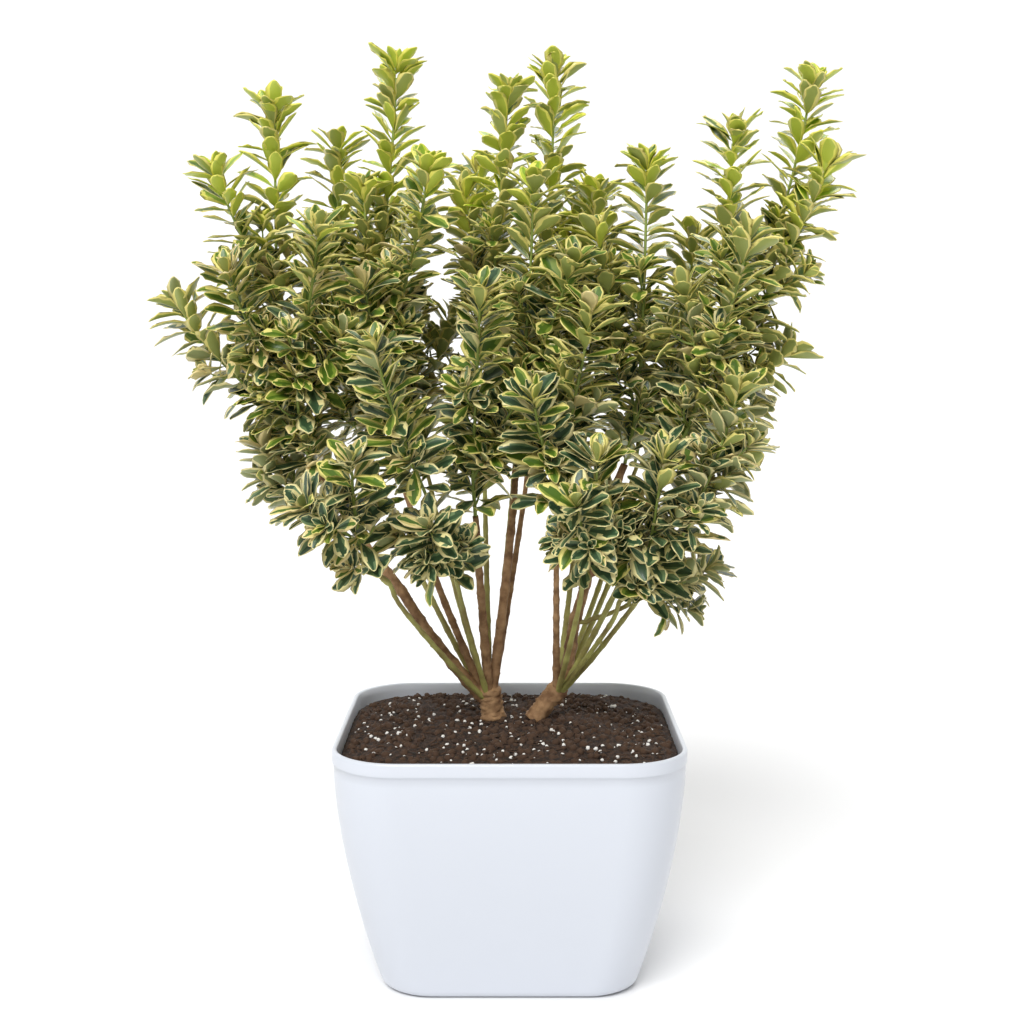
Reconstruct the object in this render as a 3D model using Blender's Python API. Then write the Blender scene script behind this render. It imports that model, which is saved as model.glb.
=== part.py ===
"""A variegated euonymus: a many-stemmed evergreen shrub in a square white pot.

The shrub rises from two woody stools in the soil. Bare boughs fan out from them and end where they
enter the foliage. Each mass of foliage is one stem with side spires and opposite pairs of leaves.
Metres, +Z up. The origin is the middle of the pot's flat underside.
"""

import random
from collections import namedtuple
from math import cos, pi, radians, sin

import bmesh
import bpy
import numpy as np
from mathutils import Vector
from mathutils.bvhtree import BVHTree

MM = 0.001
GAP = 0.3 * MM  # air left between two solids that touch

# The pot: a rounded square that narrows to its foot
POT_WIDTH = 240 * MM
POT_HEIGHT = 172 * MM
FOOT_WIDTH = 177 * MM
POT_CORNER = 46 * MM
FOOT_CORNER = 34 * MM
WALL = 3 * MM
RIM_BAND = 10 * MM
BAND_STEP = 0.9 * MM
FOOT_ROUND = 5 * MM
WALL_BULGE = 1.6  # 1 would be a straight taper
CORNER_STEPS = 4
WALL_LEVELS = 4

# The soil: nearly level with the rim, a little higher round the stools
SOIL_EDGE = 162 * MM
SOIL_TOP = 168 * MM
SOIL_FLAT = 50 * MM  # half width of the level middle that the stools stand on
SOIL_LUMP = 1.1 * MM

UP = Vector((0, 0, 1))

# A stool is a stump: rings of (x, y, height over the soil, radius), in mm
Stool = namedtuple("Stool", "name rings heart")
STOOLS = (
    Stool(
        "stool_left",
        ((-12, 18, 0, 11), (-13, 18, 6, 8.6), (-14, 18, 14, 9.2), (-15, 18, 21, 9.6), (-15, 18, 26, 6)),
        (-14.5, 18, 14),
    ),
    Stool(
        "stool_right",
        ((18, 14, 0, 9), (21, 14, 5, 7.4), (28, 15, 14, 7.6), (35, 15, 22, 8.4), (38, 15, 28, 5.4)),
        (34, 15, 20),
    ),
)

STOOL_NAMES = tuple(s.name for s in STOOLS)

# A bough runs from a stool, or from a share of the way along another bough, to its knee, in mm, where
# the foliage begins. Sweep is how far it bellies out under the straight line, as a share of its length.
Bough = namedtuple("Bough", "name start along knee girth sweep")
BOUGHS = (
    Bough("bough_left_main", "stool_left", 0, (-137, 12, 350), 4.7, 0.07),
    Bough("bough_left_mid", "stool_left", 0, (-84, 22, 362), 3.0, 0.05),
    Bough("bough_left_back", "stool_left", 0, (-112, 62, 372), 2.3, 0.06),
    Bough("bough_left_green", "stool_left", 0, (-38, -34, 282), 2.1, 0.03),
    Bough("bough_left_front", "stool_left", 0, (-92, -56, 288), 2.1, 0.05),
    Bough("bough_left_twig", "bough_left_main", 0.52, (-147, 24, 322), 1.7, 0.08),
    Bough("bough_centre_left", "stool_left", 0, (-19, 46, 366), 2.4, 0.02),
    Bough("bough_centre_tall", "stool_left", 0, (18, 70, 378), 2.7, 0.03),
    Bough("bough_centre_front", "stool_left", 0, (6, 2, 366), 3.9, 0.02),
    Bough("bough_centre_low", "stool_left", 0, (-24, -20, 322), 3.7, 0.02),
    Bough("bough_back_left", "stool_left", 0, (-64, 92, 344), 2.2, 0.06),
    Bough("bough_back_centre", "stool_left", 0, (4, 104, 352), 2.4, 0.06),
    Bough("bough_right_main", "stool_right", 0, (82, 8, 356), 4.8, 0.03),
    Bough("bough_right_outer", "bough_right_main", 0.55, (130, 16, 376), 3.1, 0.06),
    Bough("bough_right_front", "stool_right", 0, (114, -36, 366), 2.3, 0.06),
    Bough("bough_right_back", "stool_right", 0, (112, 58, 368), 2.2, 0.06),
    Bough("bough_right_side", "stool_right", 0, (108, -56, 300), 2.1, 0.06),
    Bough("bough_centre_right", "stool_right", 0, (32, -40, 330), 2.8, 0.02),
    Bough("bough_centre_back", "stool_right", 0, (56, 56, 372), 2.3, 0.03),
    Bough("bough_front_right", "stool_right", 0, (52, -66, 290), 2.2, 0.04),
    Bough("bough_right_low", "stool_right", 0, (82, -50, 272), 2.0, 0.05),
    Bough("bough_right_twig", "bough_right_main", 0.30, (94, -6, 262), 1.7, 0.08),
    Bough("bough_back_right", "stool_right", 0, (98, 94, 348), 2.2, 0.06),
)

# A mass of foliage grows on from a bough's knee to its tip, in mm. Spires are the side spires that
# show: (share of the stem at which each leaves, its tip). Offshoots more are placed by the seeded rule.
# Clean is the leafless share at the stem's foot, and full scales the leaves.
Mass = namedtuple("Mass", "name bough tip spires offshoots clean full")
MASSES = (
    Mass("leaves_left_outer", "bough_left_main", (-166, 15, 615),
         ((0.04, (-237, 5, 478)), (0.16, (-192, -42, 500)), (0.42, (-204, -10, 569))), 0, 0, 1),
    Mass("leaves_left_inner", "bough_left_main", (-127, -55, 528), (), 1, 0, 1),
    Mass("leaves_left_back", "bough_left_back", (-127, 75, 595), (), 1, 0, 1),
    Mass("leaves_left_tall", "bough_left_mid", (-80, 36, 648), ((0.2, (-104, 22, 560)),), 0, 0, 1),
    Mass("leaves_left_cone", "bough_left_mid", (-54, -25, 572), (), 1, 0, 1.1),
    Mass("leaves_green_shoot", "bough_left_green", (-88, -105, 452), (), 0, 0.42, 1),
    Mass("leaves_left_low_front", "bough_left_green", (-56, -84, 332), (), 1, 0, 1),
    Mass("leaves_left_front", "bough_left_front", (-102, -108, 378), (), 1, 0.1, 1),
    Mass("leaves_left_twig", "bough_left_twig", (-180, 18, 376), ((0.1, (-160, 44, 392)),), 0, 0, 0.9),
    Mass("leaves_centre_left", "bough_centre_left", (-1, 55, 632), ((0.3, (-34, 66, 560)),), 0, 0, 1),
    Mass("leaves_centre_tall", "bough_centre_tall", (34, 95, 654), (), 1, 0, 1),
    Mass("leaves_centre_front", "bough_centre_front", (17, -25, 560), (), 1, 0, 1),
    Mass("leaves_centre_low", "bough_centre_low", (-19, -75, 487), (), 1, 0, 1),
    Mass("leaves_back_left", "bough_back_left", (-88, 122, 548), (), 1, 0, 1),
    Mass("leaves_back_left_low", "bough_back_left", (-140, 96, 440), (), 1, 0, 1),
    Mass("leaves_back_centre_left", "bough_back_centre", (-26, 142, 584), (), 1, 0, 1),
    Mass("leaves_back_centre_right", "bough_back_centre", (58, 146, 560), (), 1, 0, 1),
    Mass("leaves_right_mid", "bough_right_main", (96, 0, 576), (), 1, 0, 1),
    Mass("leaves_right_outer", "bough_right_outer", (215, 25, 633), ((0.12, (204, 26, 444)),), 1, 0, 1),
    Mass("leaves_right_inner", "bough_right_outer", (154, -10, 597), (), 0, 0, 1),
    Mass("leaves_right_front", "bough_right_front", (160, -60, 523), (), 1, 0, 1),
    Mass("leaves_right_back", "bough_right_back", (137, 66, 530), (), 1, 0, 1),
    Mass("leaves_right_side", "bough_right_side", (153, -75, 424), (), 1, 0, 1),
    Mass("leaves_centre_right", "bough_centre_right", (55, -65, 476), (), 1, 0, 1),
    Mass("leaves_centre_right_low", "bough_centre_right", (14, -95, 418), (), 0, 0, 1),
    Mass("leaves_centre_back", "bough_centre_back", (64, 75, 559), ((0.25, (74, 44, 508)),), 0, 0, 1),
    Mass("leaves_front_right", "bough_front_right", (57, -105, 379), ((0.06, (42, -124, 350)),), 0, 0, 1),
    Mass("leaves_right_low", "bough_right_low", (101, -95, 380), (), 1, 0, 1),
    Mass("leaves_right_twig", "bough_right_twig", (146, -10, 291), (), 0, 0.1, 0.9),
    Mass("leaves_right_twig_near", "bough_right_twig", (96, -52, 312), (), 0, 0.1, 0.9),
    Mass("leaves_back_right", "bough_back_right", (146, 112, 516), (), 1, 0, 1),
    Mass("leaves_back_right_low", "bough_back_right", (176, 70, 424), (), 1, 0, 1),
)

# Stems
STEM_POINTS = 20  # points along each bough or stem
LIMB_RINGS = 7  # rings of a bough's solid
STEM_RINGS = 6  # rings of a mass's stem
STEM_RADIUS = 2.2 * MM  # of a mass's three-sided stem at its foot, out to its corners
STEM_TIP = 1.4 * MM
SPIRE_RADIUS = 1.9 * MM
CLEAR = 3.4 * MM  # air left between two stems, at their points
CLOSE = 24 * MM  # stems further apart than this leave each other alone
EASE_ROUNDS = 60
SPRING = 0.06  # how strongly an eased stem is drawn back to its own curve
FORK_TOP = SOIL_TOP + 46 * MM  # below this the limbs press together and are cut to fit instead
REJOIN_POINTS = 7  # points of a side limb that are moved to bring its foot back to its bearer
STEM_SPACING = 3 * MM  # allowed for where two lines are compared point by point
OFFSHOOT_REACH = (30 * MM, 44 * MM)  # how far aside the seeded spires stand

# Leaves: fewer and larger than life, each standing for a few of the shrub's own
LEAF_LENGTH = 37 * MM
LEAF_WIDTH = 19 * MM
LEAF_THICK = 2.2 * MM
LEAF_STEP = 20 * MM  # along a stem from one pair to the next
LEAF_WIDEST = 0.58  # share of the length at which a leaf is widest
ROOT_DEPTH = 1.1 * MM  # how far a leaf runs on behind its stem's axis
CROWN_LIFT = 17 * MM  # a stem ends this far under the tip of its topmost leaves
SEED = "b"
SMALLER = (1.0, 0.8)  # a leaf that has no room is tried again at this size, and then left out
SPACE_MARGIN = 1.6 * MM  # a leaf stays this much nearer to its own stems than to others
LIMB_MARGIN = 1.2 * MM

WHITE = ((0.86, 0.87, 0.89), 0.35)
SOIL_BROWN = ((0.045, 0.022, 0.012), 0.95)
BARK = ((0.30, 0.17, 0.08), 0.8)
GREEN_STEM = ((0.36, 0.36, 0.10), 0.7)
LEAF_GREEN = ((0.33, 0.38, 0.10), 0.5)


def clear_scene():
    for obj in list(bpy.data.objects):
        bpy.data.objects.remove(obj)


def material(name, look):
    colour, roughness = look
    made = bpy.data.materials.new(name)
    made.use_nodes = True
    shader = made.node_tree.nodes["Principled BSDF"]
    shader.inputs["Base Color"].default_value = (*colour, 1)
    shader.inputs["Roughness"].default_value = roughness
    shader.inputs["Metallic"].default_value = 0
    return made


def mesh_object(name, rings, look):
    """A closed body lofted through rings of equally many points, with both ends capped."""
    shape = bmesh.new()
    loops = [[shape.verts.new(point) for point in ring] for ring in rings]
    for low, high in zip(loops, loops[1:]):
        for i in range(len(low)):
            k = (i + 1) % len(low)
            shape.faces.new((low[i], low[k], high[k], high[i]))
    shape.faces.new(loops[0][::-1])
    shape.faces.new(loops[-1])
    bmesh.ops.recalc_face_normals(shape, faces=shape.faces)
    mesh = bpy.data.meshes.new(name)
    shape.to_mesh(mesh)
    shape.free()
    obj = bpy.data.objects.new(name, mesh)
    bpy.context.scene.collection.objects.link(obj)
    mesh.materials.append(look)
    return obj


def hide(obj):
    """Marks a cutter, which shapes other pieces and isn't one itself."""
    obj.hide_render = True
    obj.display_type = "WIRE"


# Pot and soil

def rounded_square(half, corner, z):
    """Points round a square of this half width with round corners."""
    ring = []
    for quarter, (sx, sy) in enumerate(((1, 1), (-1, 1), (-1, -1), (1, -1))):
        for step in range(CORNER_STEPS + 1):
            turn = (quarter + step / CORNER_STEPS) * pi / 2
            ring.append(
                Vector((sx * (half - corner) + corner * cos(turn), sy * (half - corner) + corner * sin(turn), z))
            )
    return ring


def eight_sided(ring):
    """The same ring with its corners cut straight, so that the pot stands on eight points."""
    cut = []
    for corner in range(4):
        first = ring[corner * (CORNER_STEPS + 1)]
        last = ring[corner * (CORNER_STEPS + 1) + CORNER_STEPS]
        cut += [first.lerp(last, step / CORNER_STEPS) for step in range(CORNER_STEPS + 1)]
    return cut


def wall_half(z):
    """Half the pot's outer width at a height: a taper that bulges a little."""
    top = POT_HEIGHT - RIM_BAND
    foot, rim = FOOT_WIDTH / 2, POT_WIDTH / 2 - BAND_STEP
    return foot + (rim - foot) * (1 - (1 - min(z, top) / top) ** WALL_BULGE)


def wall_corner(z):
    return FOOT_CORNER + (POT_CORNER - FOOT_CORNER) * z / POT_HEIGHT


def wall_levels(low, high):
    return [low + (high - low) * i / WALL_LEVELS for i in range(WALL_LEVELS + 1)]


def inner_ring(z, clearance=0.0):
    inset = WALL + clearance
    return rounded_square(wall_half(z) - inset, wall_corner(z) - inset, z)


def inner_levels():
    """Heights of the rings of the pot's inner wall, shared with the soil so that their facets match."""
    return wall_levels(WALL + GAP, SOIL_EDGE)


def pot(look):
    half, band_foot = POT_WIDTH / 2, POT_HEIGHT - RIM_BAND
    rings = [
        eight_sided(rounded_square(wall_half(0) - FOOT_ROUND * 0.8, wall_corner(0), 0)),
        rounded_square(wall_half(0) - FOOT_ROUND * 0.2, wall_corner(0), FOOT_ROUND * 0.3),
    ]
    rings += [rounded_square(wall_half(z), wall_corner(z), z) for z in wall_levels(FOOT_ROUND, band_foot)]
    for inset, z in (
        (0.2 * MM, band_foot + 0.8 * MM),
        (0.0, band_foot + 3 * MM),
        (0.0, POT_HEIGHT - 2.4 * MM),
        (0.7 * MM, POT_HEIGHT - 0.7 * MM),
        (2.1 * MM, POT_HEIGHT),
        (3.5 * MM, POT_HEIGHT - 0.6 * MM),
    ):
        rings.append(rounded_square(half - inset, POT_CORNER - inset, z))
    rings += [inner_ring(z) for z in reversed(inner_levels())]
    rings.append(inner_ring(WALL))
    body = mesh_object("pot", rings, look)
    body.data.shade_smooth()
    body.data.set_sharp_from_angle(angle=radians(40))


def soil(look):
    """Fills the pot, with a lumpy top that is level round the stools."""
    roll = random.Random(11)
    rings = [inner_ring(z, GAP) for z in inner_levels()]
    edge = wall_half(SOIL_EDGE) - WALL - GAP
    for share in (0.08, 0.3, 0.55, 0.8, 1.0):
        half = edge + (SOIL_FLAT - edge) * share
        height = SOIL_EDGE + (SOIL_TOP - SOIL_EDGE) * share ** 0.7
        ring = rounded_square(half, half * POT_CORNER / (POT_WIDTH / 2), height)
        if share < 1:
            for point in ring:
                point.z += roll.uniform(-SOIL_LUMP, SOIL_LUMP)
        rings.append(ring)
    mesh_object("soil", rings, look)


# Curves, as arrays of points

def arc(start, control, end, count=STEM_POINTS):
    """A quadratic Bezier curve."""
    t = np.linspace(0, 1, count)[:, None]
    return (1 - t) ** 2 * start + 2 * t * (1 - t) * control + t**2 * end


def sweep_curve(start, knee, sweep):
    """A limb that leaves low and turns up: it bellies out under the straight line."""
    along = knee - start
    length = np.linalg.norm(along)
    outward = np.array([along[0], along[1], 0.0])
    outward /= max(np.linalg.norm(outward), 1e-9)
    slope = np.linalg.norm(along[:2]) / length
    bulge = (outward * (1 - slope) - np.array([0, 0, 1.0]) * slope) * sweep * length
    return arc(start, (start + knee) / 2 + bulge, knee)


def rising_curve(start, direction, tip):
    """A stem that leaves along direction and comes up to its tip."""
    reach = np.linalg.norm(tip - start)
    lean = tip - start
    lean = lean / reach + np.array([0, 0, 0.9])
    lean /= np.linalg.norm(lean)
    t = np.linspace(0, 1, STEM_POINTS)[:, None]
    first, last = start + direction * reach * 0.3, tip - lean * reach * 0.34
    return (
        (1 - t) ** 3 * start + 3 * t * (1 - t) ** 2 * first + 3 * t**2 * (1 - t) * last + t**3 * tip
    )


def heading(points, index):
    low, high = max(index - 1, 0), min(index + 1, len(points) - 1)
    way = points[high] - points[low]
    return way / np.linalg.norm(way)


def millimetres(values):
    return np.array(values, float) * MM


# The skeleton of the shrub

# Hold is how many points at the foot stay put. Joint is the owner and the point that a stem grows from.
Stem = namedtuple("Stem", "owner kind points radii hold joint")


def grow_boughs():
    """Each bough's curve and radii, by name."""
    hearts = {s.name: millimetres(s.heart) + np.array([0, 0, SOIL_TOP]) for s in STOOLS}
    made = {}
    for b in BOUGHS:
        knee = millimetres(b.knee)
        if b.start in hearts:
            start = hearts[b.start]
            aside = knee - start
            start = start + aside * np.array([0.035, 0.035, 0])
            joint = None
        else:
            joint = (b.start, round(b.along * (STEM_POINTS - 1)))
            start = made[b.start].points[joint[1]]
        foot, end = b.girth * MM, max(0.55 * b.girth * MM, 1.5 * MM)
        radii = np.linspace(foot, end, STEM_POINTS)
        made[b.name] = Stem(b.name, "bough", sweep_curve(start, knee, b.sweep), radii, 1, joint)
    return made


def grow_masses(boughs):
    """Stems and spires of every mass, each in a list by the mass's name. The first is its main stem."""
    roll = random.Random(2)
    sharing = {b: [m for m in MASSES if m.bough == b] for b in boughs}
    made = {}
    for m in MASSES:
        bough = boughs[m.bough]
        way = heading(bough.points, STEM_POINTS - 1)
        tip = millimetres(m.tip)
        start = bough.points[-1] + way * GAP
        if len(sharing[m.bough]) > 1:
            other = next(x for x in sharing[m.bough] if x is not m)
            apart = tip - millimetres(other.tip)
            apart -= way * (apart @ way)
            start = start + apart / np.linalg.norm(apart) * (STEM_RADIUS + 0.35 * MM)
        main = Stem(m.name, "main", rising_curve(start, way, tip), stem_radii(STEM_RADIUS), 2, None)
        stems = [main]
        offshoots = list(m.spires) + [seeded_spire(roll, main.points) for _ in range(m.offshoots)]
        for share, spire_tip in offshoots:
            spire_tip = millimetres(spire_tip) if isinstance(spire_tip, tuple) else spire_tip
            at = max(1, round(share * (STEM_POINTS - 1)))
            out = spire_tip - main.points[at]
            leave = heading(main.points, at) + out / np.linalg.norm(out)
            leave /= np.linalg.norm(leave)
            curve = rising_curve(main.points[at], leave, spire_tip)
            stems.append(Stem(m.name, "spire", curve, stem_radii(SPIRE_RADIUS), 2, (m.name, at)))
        made[m.name] = stems
    return made


def stem_radii(foot):
    return np.linspace(foot, STEM_TIP, STEM_POINTS)


def seeded_spire(roll, points):
    """A side spire that leaves low on a stem and rises beside it: (share of the stem, tip)."""
    share = roll.uniform(0.08, 0.3)
    turn = roll.uniform(0, 2 * pi)
    reach = roll.uniform(*OFFSHOOT_REACH)
    height = roll.uniform(0.62, 0.8)
    beside = points[round(height * (STEM_POINTS - 1))]
    return share, beside + np.array([cos(turn) * reach, sin(turn) * reach, 0])


def ease_apart(stems):
    """Moves stems that come too close aside, a little at a time, until CLEAR is left between them."""
    drawn = np.concatenate([s.points for s in stems])
    places = drawn
    radii = np.concatenate([s.radii for s in stems])
    starts = np.repeat([s.points[0] for s in stems], STEM_POINTS, axis=0)
    free = np.concatenate([hold_weights(s) for s in stems])
    first, second = close_pairs(stems, places, starts)
    need = radii[first] + radii[second] + CLEAR
    for _ in range(EASE_ROUNDS):
        between = places[first] - places[second]
        distance = np.linalg.norm(between, axis=1)
        lack = np.clip(need - distance, 0, None)
        if lack.max() < 0.05 * MM:
            break
        push = between / (distance[:, None] + 1e-9) * lack[:, None] * (1, 1, 0.2) * 0.3
        shift = np.zeros_like(places)
        np.add.at(shift, first, push)
        np.add.at(shift, second, -push)
        shift = shift.reshape(len(stems), STEM_POINTS, 3)
        for _ in range(6):
            shift[:, 1:-1] = (shift[:, :-2] + 2 * shift[:, 1:-1] + shift[:, 2:]) / 4
        places = places + (shift.reshape(-1, 3) - (places - drawn) * SPRING) * free[:, None]
    eased = [s._replace(points=p) for s, p in zip(stems, places.reshape(len(stems), STEM_POINTS, 3))]
    return rejoined(eased)


def rejoined(stems):
    """Brings the foot of each side limb and spire back onto the stem that it grows from."""
    bearers = {s.owner: s for s in stems if s.kind != "spire"}
    fade = np.clip(1 - np.arange(STEM_POINTS) / REJOIN_POINTS, 0, 1)[:, None]
    made = []
    for stem in stems:
        if stem.joint:
            owner, at = stem.joint
            stem = stem._replace(points=stem.points + (bearers[owner].points[at] - stem.points[0]) * fade)
        made.append(stem)
    return made


def close_pairs(stems, places, starts):
    """Pairs of points of different stems that may come close, but not where one grows from the other."""
    owner = np.repeat(np.arange(len(stems)), STEM_POINTS)
    step = np.tile(np.arange(STEM_POINTS), len(stems))
    rooting = np.array([s.kind == "spire" for s in stems])[owner] & (step < 3)
    firsts, seconds = [], []
    for i in range(len(places)):
        later = np.arange(i + 1, len(places))
        near = np.linalg.norm(places[later] - places[i], axis=1) < CLOSE
        near &= (places[later, 2] > FORK_TOP) | (places[i, 2] > FORK_TOP)
        siblings = np.linalg.norm(starts[later] - starts[i], axis=1) < 6 * MM
        at_foot = np.linalg.norm(places[i] - starts[i]) < 9 * MM
        wanted = near & (owner[later] != owner[i]) & ~(siblings & at_foot) & ~rooting[later]
        if not rooting[i]:
            seconds.append(later[wanted])
            firsts.append(np.full(wanted.sum(), i))
    return np.concatenate(firsts), np.concatenate(seconds)


def hold_weights(stem):
    """How freely each point of a stem may be eased: not at its foot, and fully from a few points on."""
    steps = np.arange(STEM_POINTS)
    weights = np.clip((steps - stem.hold + 1) / 6, 0, 1)
    if stem.kind == "bough":
        weights *= np.clip((STEM_POINTS - 1 - steps) / 6, 0, 1)
    return weights


def finely(points, step=3 * MM):
    """The same line with points a short step apart."""
    pieces = []
    for a, b in zip(points, points[1:]):
        count = max(1, int(np.ceil(np.linalg.norm(b - a) / step)))
        pieces.append(a + (b - a) * np.arange(count)[:, None] / count)
    return np.concatenate([*pieces, points[-1:]])


# Woody pieces

def tube_rings(points, radii, sides, first_way=None):
    """Rings round a curve, turned along it without twisting."""
    rings = []
    across = Vector((1, 0, 0))
    for i, (point, radius) in enumerate(zip(points, radii)):
        way = Vector(first_way) if i == 0 and first_way is not None else Vector(heading(points, i))
        across = (across - way * across.dot(way)).normalized()
        side = way.cross(across)
        rings.append(
            [
                Vector(point) + (across * cos(2 * pi * k / sides) + side * sin(2 * pi * k / sides)) * radius
                for k in range(sides)
            ]
        )
    return rings


def thinned(points, keep):
    """Every so many points of a curve, its ends among them."""
    picked = np.linspace(0, len(points) - 1, keep).round().astype(int)
    return points[picked], picked


def stool(spec, look, grow=0.0):
    """A stump with a flared foot, cut flat where it stands on the soil."""
    rings = []
    for x, y, height, radius in spec.rings:
        z = SOIL_TOP + GAP + height * MM
        if grow:
            z += grow if height == spec.rings[-1][2] else (-grow if height == 0 else 0)
        r = radius * MM + grow
        rings.append([Vector((x * MM + r * cos(k * pi / 5), y * MM + r * sin(k * pi / 5), z)) for k in range(10)])
    return mesh_object(spec.name + ("_gauge" if grow else ""), rings, look)


def bough(stem, gauges, look):
    """One tapering limb, cut to fit what it grows from and the limbs that it presses against."""
    thick = stem.radii[0] > 3.5 * MM
    points, picked = thinned(stem.points, LIMB_RINGS)
    obj = mesh_object(stem.owner, tube_rings(points, stem.radii[picked], 8 if thick else 6), look)
    for gauge in gauges:
        seat = obj.modifiers.new("seat", "BOOLEAN")
        seat.operation = "DIFFERENCE"
        seat.object = gauge
    settle(obj)


def pressing(stem, others):
    """Names of the limbs that come so near to this one that it has to be cut to fit them."""
    found = []
    for other in others:
        reach = stem.radii[:, None] + other.radii[None, :] + 2 * GAP
        apart = np.linalg.norm(stem.points[:, None] - other.points[None], axis=2)
        if (apart < reach + STEM_SPACING).any():
            found.append(other.owner)
    return found


def limb_gauge(stem, look):
    points, picked = thinned(stem.points, LIMB_RINGS)
    obj = mesh_object(stem.owner + "_gauge", tube_rings(points, stem.radii[picked] + GAP, 8), look)
    hide(obj)
    return obj


# Foliage

# A leaf's corners are its base, tip, left, right, upper and under points
LEAF_FACES = [(end, a, b) for end in (0, 1) for a, b in ((2, 4), (4, 3), (3, 5), (5, 2))]


def leaf_corners(root, way, outward, length, width, tilt):
    """The six corners of a thin solid leaf: root, tip, two sides, upper and under side."""
    blade = way * cos(tilt) + outward * sin(tilt)
    face = way * sin(tilt) - outward * cos(tilt)
    side = np.cross(blade, face)
    base = root - blade * ROOT_DEPTH
    middle = root + blade * length * LEAF_WIDEST
    thick = face * LEAF_THICK / 2
    return np.array(
        [base, root + blade * length, middle - side * width / 2, middle + side * width / 2, middle + thick, middle - thick]
    )


def leaf_object(name, corners, look):
    shape = bmesh.new()
    points = [shape.verts.new(c) for c in corners]
    for face in LEAF_FACES:
        shape.faces.new([points[i] for i in face])
    bmesh.ops.recalc_face_normals(shape, faces=shape.faces)
    mesh = bpy.data.meshes.new(name)
    shape.to_mesh(mesh)
    shape.free()
    mesh.materials.append(look)
    return bpy.data.objects.new(name, mesh)


def test_points(corners):
    """Points all over a leaf, to test whether it keeps clear."""
    base, tip, left, right, upper, under = corners
    root = base + (tip - base) * 0.12
    return np.array(
        [tip, left, right, upper, under, (left + tip) / 2, (right + tip) / 2, (left + root) / 2, (right + root) / 2]
    )


def leaf_tree(corners):
    return BVHTree.FromPolygons([Vector(c) for c in corners], LEAF_FACES)


class Space:
    """What a mass's leaves keep clear of: the other masses' stems, and every bough."""

    def __init__(self, boughs, masses):
        self.lines = {name: np.concatenate([finely(s.points) for s in stems]) for name, stems in masses.items()}
        self.limbs = np.concatenate([finely(s.points) for s in boughs])
        self.limb_radii = np.concatenate(
            [np.interp(np.linspace(0, 1, len(finely(s.points))), np.linspace(0, 1, STEM_POINTS), s.radii) for s in boughs]
        )

    def others(self, name):
        return np.concatenate([line for n, line in self.lines.items() if n != name])

    def takes(self, name, corners, others):
        points = test_points(corners)
        own = np.linalg.norm(points[:, None] - self.lines[name][None], axis=2).min(axis=1)
        theirs = np.linalg.norm(points[:, None] - others[None], axis=2).min(axis=1)
        limbs = (np.linalg.norm(points[:, None] - self.limbs[None], axis=2) - self.limb_radii).min()
        above_pot = points[:, 2].min() > POT_HEIGHT + 8 * MM
        return (own + SPACE_MARGIN < theirs).all() and limbs > LIMB_MARGIN and above_pot


def leaves_along(stem, roll, clean, full):
    """Corners of opposite pairs of leaves up a stem, each pair turned a quarter from the last."""
    line = finely(stem.points, 1 * MM)
    length = len(line) - 1
    top = max(length - int(CROWN_LIFT / MM), 4)
    turn = roll.uniform(0, pi)
    place = max(int(clean * length), 7)
    steps = []
    while place < top - 4:
        steps.append(place)
        place += int(LEAF_STEP / MM * roll.uniform(0.9, 1.1))
    steps.append(top - 2)
    for index, at in enumerate(steps):
        height = at / length
        way = heading(line, at)
        across = np.cross(way, (0.0, 1.0, 0.0))
        across /= np.linalg.norm(across)
        last = index == len(steps) - 1
        tilt = radians(16 if last else 74 - 30 * height + roll.uniform(-6, 6))
        size = (0.62 if last else 1.0 - 0.22 * height**2) * full * roll.uniform(0.92, 1.06)
        for half in (0, pi):
            angle = turn + half + roll.uniform(-0.15, 0.15)
            outward = across * cos(angle) + np.cross(way, across) * sin(angle)
            root = line[at] + way * roll.uniform(-0.6, 0.6) * MM
            yield [
                leaf_corners(root, way, outward, LEAF_LENGTH * size * less, LEAF_WIDTH * size * less, tilt)
                for less in SMALLER
            ]
        turn += pi / 2 + roll.uniform(-0.2, 0.2)


def stem_object(name, stem, look):
    """A three-sided stem that stops under its topmost leaves. A side spire starts inside its parent."""
    line = finely(stem.points, 1 * MM)
    line = line[: max(len(line) - int(CROWN_LIFT / MM), 8)]
    points, picked = thinned(line, STEM_RINGS)
    radii = np.interp(picked / len(line), np.linspace(0, 1, STEM_POINTS), stem.radii)
    first_way = heading(stem.points, 0)
    return mesh_object(name, tube_rings(points, radii, 3, first_way), look)


def mass(spec, stems, space, look):
    """One mass of foliage as one solid: its stems and leaves are united and the parts removed."""
    roll = random.Random(spec.name + SEED)
    others = space.others(spec.name)
    body = stem_object(spec.name, stems[0], look)
    parts = bpy.data.collections.new(spec.name + "_parts")
    for i, spire in enumerate(stems[1:]):
        twig = stem_object(f"{spec.name}_spire_{i}", spire, look)
        bpy.context.scene.collection.objects.unlink(twig)
        parts.objects.link(twig)
    trees = []
    for i, stem in enumerate(stems):
        clean = spec.clean if i == 0 else 0.22
        for choices in leaves_along(stem, roll, clean, spec.full):
            for corners in choices:
                tree = leaf_tree(corners)
                if space.takes(spec.name, corners, others) and not any(tree.overlap(t) for t in trees):
                    parts.objects.link(leaf_object(f"{spec.name}_leaf_{len(trees)}", corners, look))
                    trees.append(tree)
                    break
    union = body.modifiers.new("union", "BOOLEAN")
    union.operation = "UNION"
    union.operand_type = "COLLECTION"
    union.collection = parts
    union.solver = "MANIFOLD"
    settle(body)
    for part in list(parts.objects):
        bpy.data.objects.remove(part)
    bpy.data.collections.remove(parts)
    return len(trees)


def settle(body):
    """Applies a piece's modifiers and keeps its one body."""
    bpy.context.view_layer.update()
    graph = bpy.context.evaluated_depsgraph_get()
    shaped = bpy.data.meshes.new_from_object(body.evaluated_get(graph))
    body.modifiers.clear()
    body.data = shaped
    keep_largest(shaped)


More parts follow.
